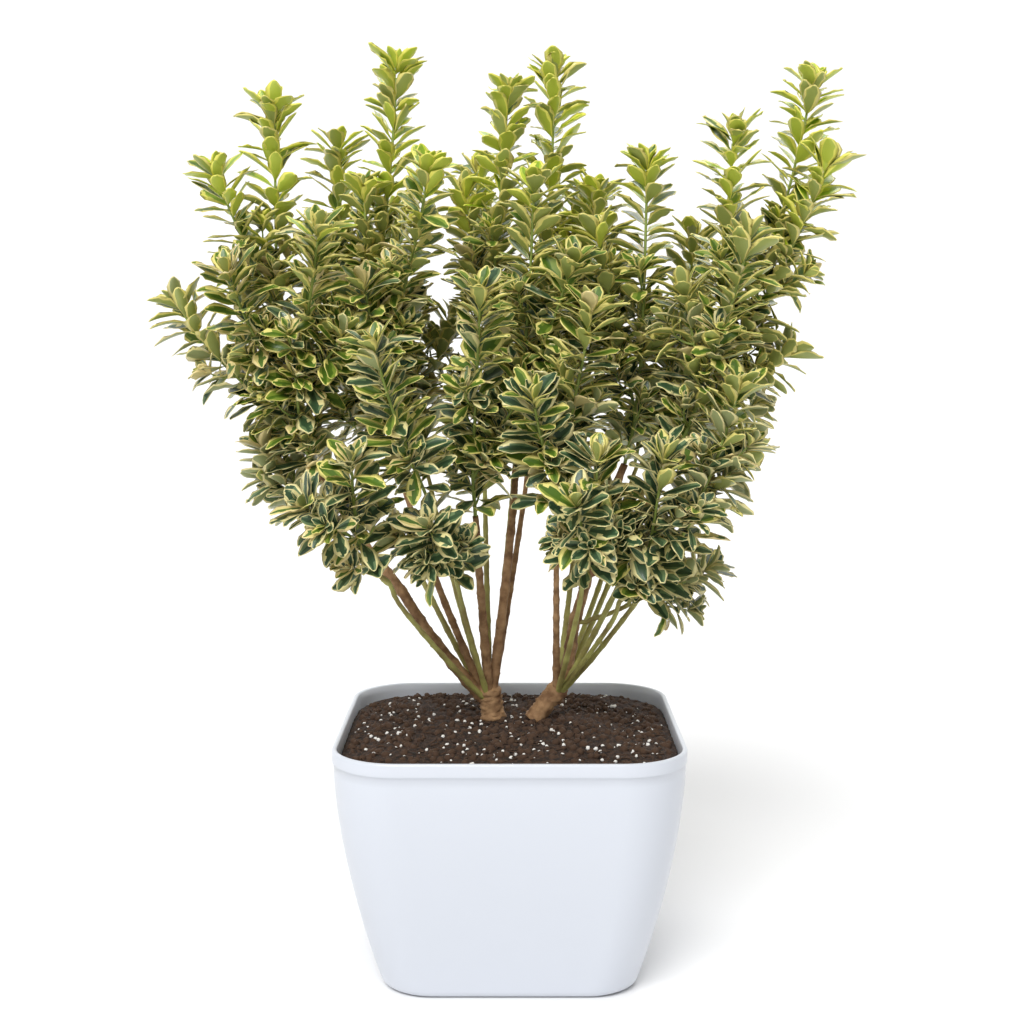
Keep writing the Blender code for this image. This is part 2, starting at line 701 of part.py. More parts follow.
def keep_largest(mesh):
    """Drops loose scraps and fills sealed hollows: only the largest shell stays."""
    shape = bmesh.new()
    shape.from_mesh(mesh)
    unseen = set(shape.faces)
    shells = []
    while unseen:
        edge = [unseen.pop()]
        shell = set(edge)
        while edge:
            near = {f for face in edge for e in face.edges for f in e.link_faces} - shell
            shell |= near
            edge = list(near)
        unseen -= shell
        shells.append(shell)
    largest = max(shells, key=len)
    spare = [face for shell in shells if shell is not largest for face in shell]
    bmesh.ops.delete(shape, geom=spare, context="FACES")
    shape.to_mesh(mesh)
    shape.free()


def main():
    clear_scene()
    white = material("white_plastic", WHITE)
    brown = material("potting_soil", SOIL_BROWN)
    bark = material("bark", BARK)
    green = material("green_stem", GREEN_STEM)
    leaf = material("leaf", LEAF_GREEN)

    pot(white)
    soil(brown)
    gauges = {}
    for spec in STOOLS:
        stool(spec, bark)
        gauges[spec.name] = stool(spec, bark, grow=GAP)
        hide(gauges[spec.name])

    boughs = grow_boughs()
    masses = grow_masses(boughs)
    stems = list(boughs.values()) + [s for group in masses.values() for s in group]
    eased = iter(ease_apart(stems))
    boughs = {name: next(eased) for name in boughs}
    masses = {name: [next(eased) for _ in group] for name, group in masses.items()}

    for i, b in enumerate(BOUGHS):
        stem = boughs[b.name]
        near = pressing(stem, [boughs[other.name] for other in BOUGHS[:i]])
        bough(stem, [gauges[name] for name in (*STOOL_NAMES, *near)], bark if b.girth > 2.5 else green)
        gauges[b.name] = limb_gauge(stem, bark)

    space = Space(list(boughs.values()), masses)
    total = sum(mass(m, masses[m.name], space, leaf) for m in MASSES)
    print("leaves:", total)


main()
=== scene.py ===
"""The look of a potted variegated euonymus: life-size leaves, barked limbs and loose soil.

The shrub grows by the same rule as its solids, from the same named sizes, and is carried to finer
twigs. Metres, +Z up. The origin is the middle of the pot's flat underside.
"""

import random
from collections import namedtuple
from math import cos, pi, radians, sin, sqrt

import bpy
import numpy as np
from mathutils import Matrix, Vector


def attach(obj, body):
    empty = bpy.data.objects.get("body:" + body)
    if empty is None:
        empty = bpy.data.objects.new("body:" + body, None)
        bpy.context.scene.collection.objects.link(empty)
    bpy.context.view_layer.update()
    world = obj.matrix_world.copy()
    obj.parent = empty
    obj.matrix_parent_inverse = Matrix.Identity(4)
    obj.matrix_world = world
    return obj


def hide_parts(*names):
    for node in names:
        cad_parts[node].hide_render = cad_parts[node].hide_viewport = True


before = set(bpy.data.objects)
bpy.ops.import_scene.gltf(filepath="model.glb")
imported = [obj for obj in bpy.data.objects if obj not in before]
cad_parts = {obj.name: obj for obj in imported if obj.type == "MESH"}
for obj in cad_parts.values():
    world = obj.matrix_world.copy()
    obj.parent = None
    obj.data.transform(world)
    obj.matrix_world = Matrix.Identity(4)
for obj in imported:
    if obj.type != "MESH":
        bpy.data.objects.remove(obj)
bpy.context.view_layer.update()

CAMERA_PLACE = (0.0016, -1.134, 0.457)
CAMERA_PITCH = 0.118
CAMERA_LENS = 56.48

MM = 0.001
GAP = 0.3 * MM  # air left between two solids that touch

# The pot: a rounded square that narrows to its foot
POT_WIDTH = 240 * MM
POT_HEIGHT = 172 * MM
FOOT_WIDTH = 177 * MM
POT_CORNER = 46 * MM
FOOT_CORNER = 34 * MM
WALL = 3 * MM
RIM_BAND = 10 * MM
BAND_STEP = 0.9 * MM
FOOT_ROUND = 5 * MM
WALL_BULGE = 1.6  # 1 would be a straight taper

# The soil: nearly level with the rim, a little higher round the stools
SOIL_EDGE = 162 * MM
SOIL_TOP = 168 * MM

# A stool is a stump: rings of (x, y, height over the soil, radius), in mm
Stool = namedtuple("Stool", "name rings heart")
STOOLS = (
    Stool(
        "stool_left",
        ((-12, 18, 0, 11), (-13, 18, 6, 8.6), (-14, 18, 14, 9.2), (-15, 18, 21, 9.6), (-15, 18, 26, 6)),
        (-14.5, 18, 14),
    ),
    Stool(
        "stool_right",
        ((18, 14, 0, 9), (21, 14, 5, 7.4), (28, 15, 14, 7.6), (35, 15, 22, 8.4), (38, 15, 28, 5.4)),
        (34, 15, 20),
    ),
)

# A bough runs from a stool, or from a share of the way along another bough, to its knee, in mm, where
# the foliage begins. Sweep is how far it bellies out under the straight line, as a share of its length.
Bough = namedtuple("Bough", "name start along knee girth sweep")
BOUGHS = (
    Bough("bough_left_main", "stool_left", 0, (-137, 12, 350), 4.7, 0.07),
    Bough("bough_left_mid", "stool_left", 0, (-84, 22, 362), 3.0, 0.05),
    Bough("bough_left_back", "stool_left", 0, (-112, 62, 372), 2.3, 0.06),
    Bough("bough_left_green", "stool_left", 0, (-38, -34, 282), 2.1, 0.03),
    Bough("bough_left_front", "stool_left", 0, (-92, -56, 288), 2.1, 0.05),
    Bough("bough_left_twig", "bough_left_main", 0.52, (-147, 24, 322), 1.7, 0.08),
    Bough("bough_centre_left", "stool_left", 0, (-19, 46, 366), 2.4, 0.02),
    Bough("bough_centre_tall", "stool_left", 0, (18, 70, 378), 2.7, 0.03),
    Bough("bough_centre_front", "stool_left", 0, (6, 2, 366), 3.9, 0.02),
    Bough("bough_centre_low", "stool_left", 0, (-24, -20, 322), 3.7, 0.02),
    Bough("bough_back_left", "stool_left", 0, (-64, 92, 344), 2.2, 0.06),
    Bough("bough_back_centre", "stool_left", 0, (4, 104, 352), 2.4, 0.06),
    Bough("bough_right_main", "stool_right", 0, (82, 8, 356), 4.8, 0.03),
    Bough("bough_right_outer", "bough_right_main", 0.55, (130, 16, 376), 3.1, 0.06),
    Bough("bough_right_front", "stool_right", 0, (114, -36, 366), 2.3, 0.06),
    Bough("bough_right_back", "stool_right", 0, (112, 58, 368), 2.2, 0.06),
    Bough("bough_right_side", "stool_right", 0, (108, -56, 300), 2.1, 0.06),
    Bough("bough_centre_right", "stool_right", 0, (32, -40, 330), 2.8, 0.02),
    Bough("bough_centre_back", "stool_right", 0, (56, 56, 372), 2.3, 0.03),
    Bough("bough_front_right", "stool_right", 0, (52, -66, 290), 2.2, 0.04),
    Bough("bough_right_low", "stool_right", 0, (82, -50, 272), 2.0, 0.05),
    Bough("bough_right_twig", "bough_right_main", 0.30, (94, -6, 262), 1.7, 0.08),
    Bough("bough_back_right", "stool_right", 0, (98, 94, 348), 2.2, 0.06),
)

# A mass of foliage grows on from a bough's knee to its tip, in mm. Spires are the side spires that
# show: (share of the stem at which each leaves, its tip). Offshoots more are placed by the seeded rule.
# Clean is the leafless share at the stem's foot.
Mass = namedtuple("Mass", "name bough tip spires offshoots clean")
MASSES = (
    Mass(
        "leaves_left_outer",
        "bough_left_main",
        (-166, 15, 615),
        ((0.04, (-237, 5, 478)), (0.16, (-192, -42, 500)), (0.42, (-204, -10, 569))),
        0,
        0,
    ),
    Mass("leaves_left_inner", "bough_left_main", (-127, -55, 528), (), 1, 0),
    Mass("leaves_left_back", "bough_left_back", (-127, 75, 595), (), 1, 0),
    Mass("leaves_left_tall", "bough_left_mid", (-80, 36, 648), ((0.2, (-104, 22, 560)),), 0, 0),
    Mass("leaves_left_cone", "bough_left_mid", (-54, -25, 572), (), 1, 0),
    Mass("leaves_green_shoot", "bough_left_green", (-88, -105, 452), (), 0, 0.42),
    Mass("leaves_left_low_front", "bough_left_green", (-56, -84, 332), (), 1, 0),
    Mass("leaves_left_front", "bough_left_front", (-102, -108, 378), (), 1, 0.1),
    Mass("leaves_left_twig", "bough_left_twig", (-180, 18, 376), ((0.1, (-160, 44, 392)),), 0, 0),
    Mass("leaves_centre_left", "bough_centre_left", (-1, 55, 632), ((0.3, (-34, 66, 560)),), 0, 0),
    Mass("leaves_centre_tall", "bough_centre_tall", (34, 95, 654), (), 1, 0),
    Mass("leaves_centre_front", "bough_centre_front", (17, -25, 560), (), 1, 0),
    Mass("leaves_centre_low", "bough_centre_low", (-19, -75, 487), (), 1, 0),
    Mass("leaves_back_left", "bough_back_left", (-88, 122, 548), (), 1, 0),
    Mass("leaves_back_left_low", "bough_back_left", (-140, 96, 440), (), 1, 0),
    Mass("leaves_back_centre_left", "bough_back_centre", (-26, 142, 584), (), 1, 0),
    Mass("leaves_back_centre_right", "bough_back_centre", (58, 146, 560), (), 1, 0),
    Mass("leaves_right_mid", "bough_right_main", (96, 0, 576), (), 1, 0),
    Mass("leaves_right_outer", "bough_right_outer", (215, 25, 633), ((0.12, (204, 26, 444)),), 1, 0),
    Mass("leaves_right_inner", "bough_right_outer", (154, -10, 597), (), 0, 0),
    Mass("leaves_right_front", "bough_right_front", (160, -60, 523), (), 1, 0),
    Mass("leaves_right_back", "bough_right_back", (137, 66, 530), (), 1, 0),
    Mass("leaves_right_side", "bough_right_side", (153, -75, 424), (), 1, 0),
    Mass("leaves_centre_right", "bough_centre_right", (55, -65, 476), (), 1, 0),
    Mass("leaves_centre_right_low", "bough_centre_right", (14, -95, 418), (), 0, 0),
    Mass("leaves_centre_back", "bough_centre_back", (64, 75, 559), ((0.25, (74, 44, 508)),), 0, 0),
    Mass("leaves_front_right", "bough_front_right", (57, -105, 379), ((0.06, (42, -124, 350)),), 0, 0),
    Mass("leaves_right_low", "bough_right_low", (101, -95, 380), (), 1, 0),
    Mass("leaves_right_twig", "bough_right_twig", (146, -10, 291), (), 0, 0.1),
    Mass("leaves_right_twig_near", "bough_right_twig", (96, -52, 312), (), 0, 0.1),
    Mass("leaves_back_right", "bough_back_right", (146, 112, 516), (), 1, 0),
    Mass("leaves_back_right_low", "bough_back_right", (176, 70, 424), (), 1, 0),
)

# Stems
STEM_POINTS = 20  # points along each bough or stem
STEM_RADIUS = 2.2 * MM  # of a mass's stem at its foot
STEM_TIP = 1.4 * MM
SPIRE_RADIUS = 1.9 * MM
STEM_HOLD = 2  # points at a stem's foot that stay put
STOOL_SPREAD = 0.035  # how far out of its stool's heart a bough starts, as a share of its way
BOUGH_TAPER = 0.55  # a bough's tip, as a share of its girth
BOUGH_TIP = 1.5 * MM  # the least that a bough's tip may be
TIP_RISE = 0.9  # how strongly a stem turns up at its tip
LEAVE_PULL = 0.3  # how far a stem's curve holds to its way at the foot, as a share of its reach
TIP_PULL = 0.34  # and at the tip
SHARED_AIR = 0.35 * MM  # added to the radius where two stems share a bough's tip

# Easing stems apart
CLEAR = 3.4 * MM  # air left between two stems, at their points
CLOSE = 24 * MM  # stems further apart than this leave each other alone
EASE_ROUNDS = 60
EASED = 0.05 * MM  # a lack of air too small to mend
PUSH_WAYS = (1, 1, 0.2)  # stems are pushed aside more than up or down
PUSH_SHARE = 0.3
SMOOTHINGS = 6  # how often each round's moves are averaged along the stem
SPRING = 0.06  # how strongly an eased stem is drawn back to its own curve
EASE_FADE = 6  # points over which a stem becomes free to move
FORK_TOP = SOIL_TOP + 46 * MM  # below this the limbs press together and are not eased apart
REJOIN_POINTS = 7  # points of a side limb that are moved to bring its foot back to its bearer
ROOT_POINTS = 3  # points of a spire that may touch the stem it grows from
SIBLING_FEET = 6 * MM  # stems that start within this of each other may touch
SIBLING_REACH = 9 * MM  # as far as this from their feet

# Spires placed by the seeded rule
SPIRE_SEED = 2
SPIRE_LEAVES = (0.08, 0.3)  # share of the stem at which one leaves
SPIRE_RISES = (0.62, 0.8)  # share of the stem that its tip stands beside
OFFSHOOT_REACH = (30 * MM, 44 * MM)  # how far aside the seeded spires stand

# Points are a millimetre apart along the lines that carry leaves
FINE = 1 * MM


def wall_half(z):
    """Half the pot's outer width at a height: a taper that bulges a little."""
    top = POT_HEIGHT - RIM_BAND
    foot, rim = FOOT_WIDTH / 2, POT_WIDTH / 2 - BAND_STEP
    return foot + (rim - foot) * (1 - (1 - min(z, top) / top) ** WALL_BULGE)


# Curves, as arrays of points

def arc(start, control, end, count=STEM_POINTS):
    """A quadratic Bezier curve."""
    t = np.linspace(0, 1, count)[:, None]
    return (1 - t) ** 2 * start + 2 * t * (1 - t) * control + t**2 * end


def sweep_curve(start, knee, sweep):
    """A limb that leaves low and turns up: it bellies out under the straight line."""
    along = knee - start
    length = np.linalg.norm(along)
    outward = np.array([along[0], along[1], 0.0])
    outward /= max(np.linalg.norm(outward), 1e-9)
    slope = np.linalg.norm(along[:2]) / length
    bulge = (outward * (1 - slope) - np.array([0, 0, 1.0]) * slope) * sweep * length
    return arc(start, (start + knee) / 2 + bulge, knee)


def rising_curve(start, direction, tip):
    """A stem that leaves along direction and comes up to its tip."""
    reach = np.linalg.norm(tip - start)
    lean = tip - start
    lean = lean / reach + np.array([0, 0, TIP_RISE])
    lean /= np.linalg.norm(lean)
    t = np.linspace(0, 1, STEM_POINTS)[:, None]
    first, last = start + direction * reach * LEAVE_PULL, tip - lean * reach * TIP_PULL
    return (
        (1 - t) ** 3 * start + 3 * t * (1 - t) ** 2 * first + 3 * t**2 * (1 - t) * last + t**3 * tip
    )


def heading(points, index):
    low, high = max(index - 1, 0), min(index + 1, len(points) - 1)
    way = points[high] - points[low]
    return way / np.linalg.norm(way)


def millimetres(values):
    return np.array(values, float) * MM


# The skeleton of the shrub

# Hold is how many points at the foot stay put. Joint is the owner and the point that a stem grows from.
Stem = namedtuple("Stem", "owner kind points radii hold joint")


def grow_boughs():
    """Each bough's curve and radii, by name."""
    hearts = {s.name: millimetres(s.heart) + np.array([0, 0, SOIL_TOP]) for s in STOOLS}
    made = {}
    for b in BOUGHS:
        knee = millimetres(b.knee)
        if b.start in hearts:
            start = hearts[b.start]
            aside = knee - start
            start = start + aside * np.array([STOOL_SPREAD, STOOL_SPREAD, 0])
            joint = None
        else:
            joint = (b.start, round(b.along * (STEM_POINTS - 1)))
            start = made[b.start].points[joint[1]]
        foot, end = b.girth * MM, max(BOUGH_TAPER * b.girth * MM, BOUGH_TIP)
        radii = np.linspace(foot, end, STEM_POINTS)
        made[b.name] = Stem(b.name, "bough", sweep_curve(start, knee, b.sweep), radii, 1, joint)
    return made


def grow_masses(boughs):
    """Stems and spires of every mass, each in a list by the mass's name. The first is its main stem."""
    roll = random.Random(SPIRE_SEED)
    sharing = {b: [m for m in MASSES if m.bough == b] for b in boughs}
    made = {}
    for m in MASSES:
        bough = boughs[m.bough]
        way = heading(bough.points, STEM_POINTS - 1)
        tip = millimetres(m.tip)
        start = bough.points[-1] + way * GAP
        if len(sharing[m.bough]) > 1:
            other = next(x for x in sharing[m.bough] if x is not m)
            apart = tip - millimetres(other.tip)
            apart -= way * (apart @ way)
            start = start + apart / np.linalg.norm(apart) * (STEM_RADIUS + SHARED_AIR)
        curve, radii = rising_curve(start, way, tip), stem_radii(STEM_RADIUS)
        main = Stem(m.name, "main", curve, radii, STEM_HOLD, None)
        stems = [main]
        offshoots = list(m.spires) + [seeded_spire(roll, main.points) for _ in range(m.offshoots)]
        for share, spire_tip in offshoots:
            spire_tip = millimetres(spire_tip) if isinstance(spire_tip, tuple) else spire_tip
            at = max(1, round(share * (STEM_POINTS - 1)))
            out = spire_tip - main.points[at]
            leave = heading(main.points, at) + out / np.linalg.norm(out)
            leave /= np.linalg.norm(leave)
            curve, radii = rising_curve(main.points[at], leave, spire_tip), stem_radii(SPIRE_RADIUS)
            stems.append(Stem(m.name, "spire", curve, radii, STEM_HOLD, (m.name, at)))
        made[m.name] = stems
    return made


def stem_radii(foot):
    return np.linspace(foot, STEM_TIP, STEM_POINTS)


def seeded_spire(roll, points):
    """A side spire that leaves low on a stem and rises beside it: (share of the stem, tip)."""
    share = roll.uniform(*SPIRE_LEAVES)
    turn = roll.uniform(0, 2 * pi)
    reach = roll.uniform(*OFFSHOOT_REACH)
    height = roll.uniform(*SPIRE_RISES)
    beside = points[round(height * (STEM_POINTS - 1))]
    return share, beside + np.array([cos(turn) * reach, sin(turn) * reach, 0])


def ease_apart(stems):
    """Moves stems that come too close aside, a little at a time, until CLEAR is left between them."""
    drawn = np.concatenate([s.points for s in stems])
    places = drawn
    radii = np.concatenate([s.radii for s in stems])
    starts = np.repeat([s.points[0] for s in stems], STEM_POINTS, axis=0)
    free = np.concatenate([hold_weights(s) for s in stems])
    first, second = close_pairs(stems, places, starts)
    need = radii[first] + radii[second] + CLEAR
    for _ in range(EASE_ROUNDS):
        between = places[first] - places[second]
        distance = np.linalg.norm(between, axis=1)
        lack = np.clip(need - distance, 0, None)
        if lack.max() < EASED:
            break
        push = between / (distance[:, None] + 1e-9) * lack[:, None] * PUSH_WAYS * PUSH_SHARE
        shift = np.zeros_like(places)
        np.add.at(shift, first, push)
        np.add.at(shift, second, -push)
        shift = shift.reshape(len(stems), STEM_POINTS, 3)
        for _ in range(SMOOTHINGS):
            shift[:, 1:-1] = (shift[:, :-2] + 2 * shift[:, 1:-1] + shift[:, 2:]) / 4
        places = places + (shift.reshape(-1, 3) - (places - drawn) * SPRING) * free[:, None]
    curves = places.reshape(len(stems), STEM_POINTS, 3)
    return rejoined([s._replace(points=p) for s, p in zip(stems, curves)])


def rejoined(stems):
    """Brings the foot of each side limb and spire back onto the stem that it grows from."""
    bearers = {s.owner: s for s in stems if s.kind != "spire"}
    fade = np.clip(1 - np.arange(STEM_POINTS) / REJOIN_POINTS, 0, 1)[:, None]
    made = []
    for stem in stems:
        if stem.joint:
            owner, at = stem.joint
            back = bearers[owner].points[at] - stem.points[0]
            stem = stem._replace(points=stem.points + back * fade)
        made.append(stem)
    return made


def close_pairs(stems, places, starts):
    """Pairs of points of different stems that may come close, but not where one grows from the other."""
    owner = np.repeat(np.arange(len(stems)), STEM_POINTS)
    step = np.tile(np.arange(STEM_POINTS), len(stems))
    rooting = np.array([s.kind == "spire" for s in stems])[owner] & (step < ROOT_POINTS)
    firsts, seconds = [], []
    for i in range(len(places)):
        later = np.arange(i + 1, len(places))
        near = np.linalg.norm(places[later] - places[i], axis=1) < CLOSE
        near &= (places[later, 2] > FORK_TOP) | (places[i, 2] > FORK_TOP)
        siblings = np.linalg.norm(starts[later] - starts[i], axis=1) < SIBLING_FEET
        at_foot = np.linalg.norm(places[i] - starts[i]) < SIBLING_REACH
        wanted = near & (owner[later] != owner[i]) & ~(siblings & at_foot) & ~rooting[later]
        if not rooting[i]:
            seconds.append(later[wanted])
            firsts.append(np.full(wanted.sum(), i))
    return np.concatenate(firsts), np.concatenate(seconds)


def hold_weights(stem):
    """How freely each point may be eased: not at a stem's foot or a bough's tip, and fully between."""
    steps = np.arange(STEM_POINTS)
    weights = np.clip((steps - stem.hold + 1) / EASE_FADE, 0, 1)
    if stem.kind == "bough":
        weights *= np.clip((STEM_POINTS - 1 - steps) / EASE_FADE, 0, 1)
    return weights


def finely(points):
    """The same line with points FINE apart."""
    pieces = []
    for a, b in zip(points, points[1:]):
        count = max(1, int(np.ceil(np.linalg.norm(b - a) / FINE)))
        pieces.append(a + (b - a) * np.arange(count)[:, None] / count)
    return np.concatenate([*pieces, points[-1:]])


def grow_all():
    """The shrub's limbs and stems, eased apart."""
    boughs = grow_boughs()
    masses = grow_masses(boughs)
    stems = list(boughs.values()) + [s for group in masses.values() for s in group]
    eased = iter(ease_apart(stems))
    boughs = {name: next(eased) for name in boughs}
    masses = {name: [next(eased) for _ in group] for name, group in masses.items()}
    return boughs, masses


# Finer growth than the solids': leaves of life size, and side twigs within the same reach

LEAF_LENGTH = 31 * MM
LEAF_WIDTH = 13.5 * MM
LEAF_THICK = 0.4 * MM
PIECE_LEAVES = 1350  # leaves in one joined piece
FOLIAGE_SEED = 8

# Pairs of leaves along a stem. Angles are in radians unless a comment says otherwise.
PAIR_STEP = 5.6 * MM
STEP_SPREAD = (0.85, 1.15)
CROWDING = 0.4  # how much closer the pairs stand at the tip, as a share
FIRST_PAIR = 3  # millimetres from a stem's foot to its first pair, at least
FOOT_TILT = 70  # degrees from the stem's way to a leaf at its foot
TILT_LOSS = 20  # degrees less at its tip
TILT_SPREAD = 13  # degrees
LEAN_SPREAD = 0.12
AIM_SPREAD = 0.2
SPIN_SPREAD = 0.22
TURN_SPREAD = 0.12
SIZE_SPREAD = (0.82, 1.12)
WIDTH_SPREAD = (0.88, 1.15)
BARK_OFFSET = 0.6 * MM  # from the middle of a stem to the foot of a leaf
FULL_SIZES = (1.0, 0.84)  # size of the leaves at a stem's foot and tip
SIDEWAYS = (0.0, 1.0, 0.1)  # a direction that no stem follows

# The rosette that ends a stem: tilt in degrees and size of each pair
TUFT = ((58, 1.1), (48, 1.05), (36, 0.92), (22, 0.75), (9, 0.55))
TUFT_AIM_SPREAD = 0.15
TUFT_LEAN_SPREAD = 0.08
TUFT_RISE = 0.8 * MM
TUFT_SIZE_SPREAD = (0.9, 1.1)
TUFT_WIDENING = 1.08

# Short side twigs
TWIG_STEP = 19 * MM
TWIG_STEP_SPREAD = (0.75, 1.25)
TWIG_REACH = (14 * MM, 25 * MM)
TWIG_FIRST = 8  # millimetres from a stem's foot to its first twig, at least
TWIG_TOP = 0.62  # share of a stem that bears twigs
TWIG_TURN = 2.4  # between one twig and the next
TWIG_TURN_SPREAD = 0.3
TWIG_OUT, TWIG_UP = 0.72, 0.75  # to the tip, as shares of the reach
TWIG_BEND_OUT, TWIG_BEND_UP = 0.5, 0.1
TWIG_POINTS = 12
TWIG_GIRTHS = (0.9, 0.6)  # radius at foot and tip, in millimetres
TWIG_SIDES = 4
TWIG_PAIR_STEP = 7 * MM
TWIG_SIZES = (0.8, 0.55)
TWIG_CLEAN = 0.4  # leafless share of a twig
SPIRE_CLEAN = 0.15  # leafless share of a spire
TIP_CUT = 17  # millimetres of a stem that its topmost leaves stand in for
WOOD_CUT = 3  # millimetres less of it that shows as wood
STEM_SLIMMING = 0.62  # a drawn stem's radius, as a share of the solid's
STEM_RINGS = 30
STEM_SIDES = 6

# Which class a leaf falls in, by height in millimetres and by chance
YOUNG_ABOVE = 500
LOWER_BELOW = 400
CLASS_FADE = 60
YOUNG_SHARE = 0.75
CREAM_SIDE = -90 * MM  # left of this, cream leaves are common
CREAM_COMMON, CREAM_RARE = 0.16, 0.05

# A leaf's mesh: rows between foot and tip as shares of its length, columns as shares of its half width
MIDDLE, BETWEEN, MARGIN, UNDER = range(4)
ROWS = np.array([0.09, 0.26, 0.44, 0.60, 0.75, 0.88, 0.96])
COLUMNS = np.array([-1.0, -0.66, -0.3, 0.0, 0.3, 0.66, 1.0])
COLUMN_ZONES = (MARGIN, BETWEEN, MIDDLE, MIDDLE, BETWEEN, MARGIN)
UNDER_ZONES = (MARGIN, UNDER, UNDER, MARGIN)
UNDER_FROM = (1, 3, 5)  # columns that the underside's points lie below
OUTER_EDGES = (1, 5)  # columns between margin and middle zones
INNER_EDGES = (2, 4)
TOOTHING = 0.05  # how much the edge steps in and out towards the tip
TEETH = np.where(ROWS > 0.5, (-1.0) ** np.arange(len(ROWS)), 0)
WIDTHS = np.sin(pi * ROWS**1.45) ** 0.72 * (1 + TOOTHING * TEETH)
OUTER_WOBBLE, OUTER_SHIFT, INNER_WOBBLE = 0.09, 0.07, 0.07
FOLDS = (0.10, 0.42)
CURLS = (-0.10, 0.34)
WAVE = 0.018
FOOT_LENGTH = 0.02
STRAY_MARGIN = 0.14  # share of the faces between that turn cream
STRAY_MIDDLE = 0.80  # draws above this turn green

# Colours of the leaf classes: middle, between, margin, underside
LEAF_LOOKS = {
    "young": ((0.24, 0.38, 0.012), (0.46, 0.56, 0.03), (0.84, 0.80, 0.15), (0.50, 0.58, 0.08)),
    "upper": ((0.075, 0.15, 0.012), (0.20, 0.28, 0.035), (0.80, 0.71, 0.22), (0.36, 0.41, 0.12)),
    "lower": ((0.030, 0.072, 0.030), (0.12, 0.19, 0.085), (0.76, 0.68, 0.32), (0.33, 0.37, 0.17)),
    "cream": ((0.09, 0.17, 0.03), (0.72, 0.61, 0.24), (0.88, 0.72, 0.34), (0.70, 0.60, 0.28)),
}
ZONE_NAMES = ("middle", "between", "margin", "under")

# Wood: stumps, and limbs with knots and ridges
WOOD_SEED = 5
STUMP_RINGS = 26
STUMP_SIDES = 22
STUMP_SLIMMING = 0.92
STUMP_ROUGH = 0.07
LIMB_SIDES = 14
LIMB_STEP = 1.6 * MM
LIMB_LEAST = 8  # rings of the shortest limb
LIMB_ROUGH = 0.035
KNOT_FIRST, KNOT_STEP, KNOT_SPREAD = 12, 13, 3  # in rings
KNOT_SIZE = 0.16
KNOT_SPAN = 3.0
BARK_GIRTH = 2.5  # millimetres; thicker boughs have brown bark, the others are green

# The pot's shell, finer than its solid
POT_CORNER_STEPS = 22
UNDERSIDE_INSET = 30 * MM
UNDERSIDE_CORNER = 20 * MM
FOOT_STEPS = 7
FOOT_TUCK = 0.8  # how far the rounded foot draws in, as a share of its height
WALL_START = FOOT_ROUND * 1.3
WALL_STEPS = 26
BAND_PROFILE = ((0.55, 0.3), (0.2, 0.8), (0.04, 1.6), (0.0, 3.0))  # (inset, rise) in millimetres
RIM_ROUND = 1.75 * MM
RIM_STEPS = 11
INNER_TOP = POT_HEIGHT - 3 * MM
INNER_FLOOR = SOIL_EDGE - 9 * MM
INNER_STEPS = 6

# The soil's top and what lies on it
SOIL_SEED = 3
SOIL_AROUND = 176
SOIL_RINGS = 64
SOIL_SQUARENESS = 5.0  # 2 would be round
SOIL_MIDDLE = 0.2 * MM
SOIL_SKIRT = 8 * MM
SOIL_RISE = 0.7
SWELLS = 7
SWELL_PITCH = 0.06
SWELL_TURN = 6
SWELL_HEIGHT = 0.35 * MM
SOIL_ROUGH = 0.9
STREWN = 0.96  # how far out bits lie, as a share of the soil's half width
Lump = namedtuple("Lump", "count sizes profile sides rough")  # sizes in millimetres
GRAINS = Lump(330, (0.5, 1.7), (0.35, 0.85, 1, 0.8, 0.3), 6, 0.16)
CRUMBS = Lump(900, (0.9, 3.4), (0.5, 1, 0.9, 0.4), 5, 0.2)
STRANDS = 700
STRAND_LENGTHS = (3, 9)  # millimetres
STRAND_GIRTHS = (0.2, 0.6)
STRAND_LIFT = 0.6 * MM
STRAND_LIE = (1, 1, 0.25)  # strands lie nearly flat
STRAND_BEND_LIE = (1, 1, 0.3)
STRAND_BEND = 0.15
STRAND_POINTS = 6
STRAND_SIDES = 4

# Light and backdrop
SURROUND_LIGHT = 0.48
SURROUND_SEEN = (0.93, 0.93, 0.93, 1)
SUN_POWER = 2.1
SUN_ANGLE = 0.5
SUN_TILT = (42, -14, 0)  # degrees
LAMPS = (("key", (-0.9, -1.3, 1.7), 0.7, 9), ("back", (0.5, 1.0, 1.6), 0.9, 8))  # place, size, power
LAMP_AIM = (0, 0, 0.3)
FLOOR_LOOK = (0.86, 0.86, 0.86)
FLOOR_DROP = 0.5 * MM
FLOOR_FRONT = -6
FLOOR_HALF = 7
BACKDROP_NEAR = 1.2  # where the floor starts to bend up into the backdrop
BACKDROP_BEND = 1.5
BACKDROP_STEPS = 17
BACKDROP_TOP = 6


# Looks and meshes

def shader_of(made):
    return made.node_tree.nodes["Principled BSDF"]


def plain(name, colour, roughness, sheen=0.0):
    made = bpy.data.materials.new(name)
    made.use_nodes = True
    shader = shader_of(made)
    shader.inputs["Base Color"].default_value = (*colour, 1)
    shader.inputs["Roughness"].default_value = roughness
    shader.inputs["Coat Weight"].default_value = sheen
    return made


def add_noise(made, scale, detail):
    """A noise over a material's object, for relief or colour."""
    nodes, links = made.node_tree.nodes, made.node_tree.links
    noise = nodes.new("ShaderNodeTexNoise")
    noise.inputs["Scale"].default_value = scale
    noise.inputs["Detail"].default_value = detail
    place = nodes.new("ShaderNodeTexCoord")
    links.new(place.outputs["Object"], noise.inputs["Vector"])
    return noise


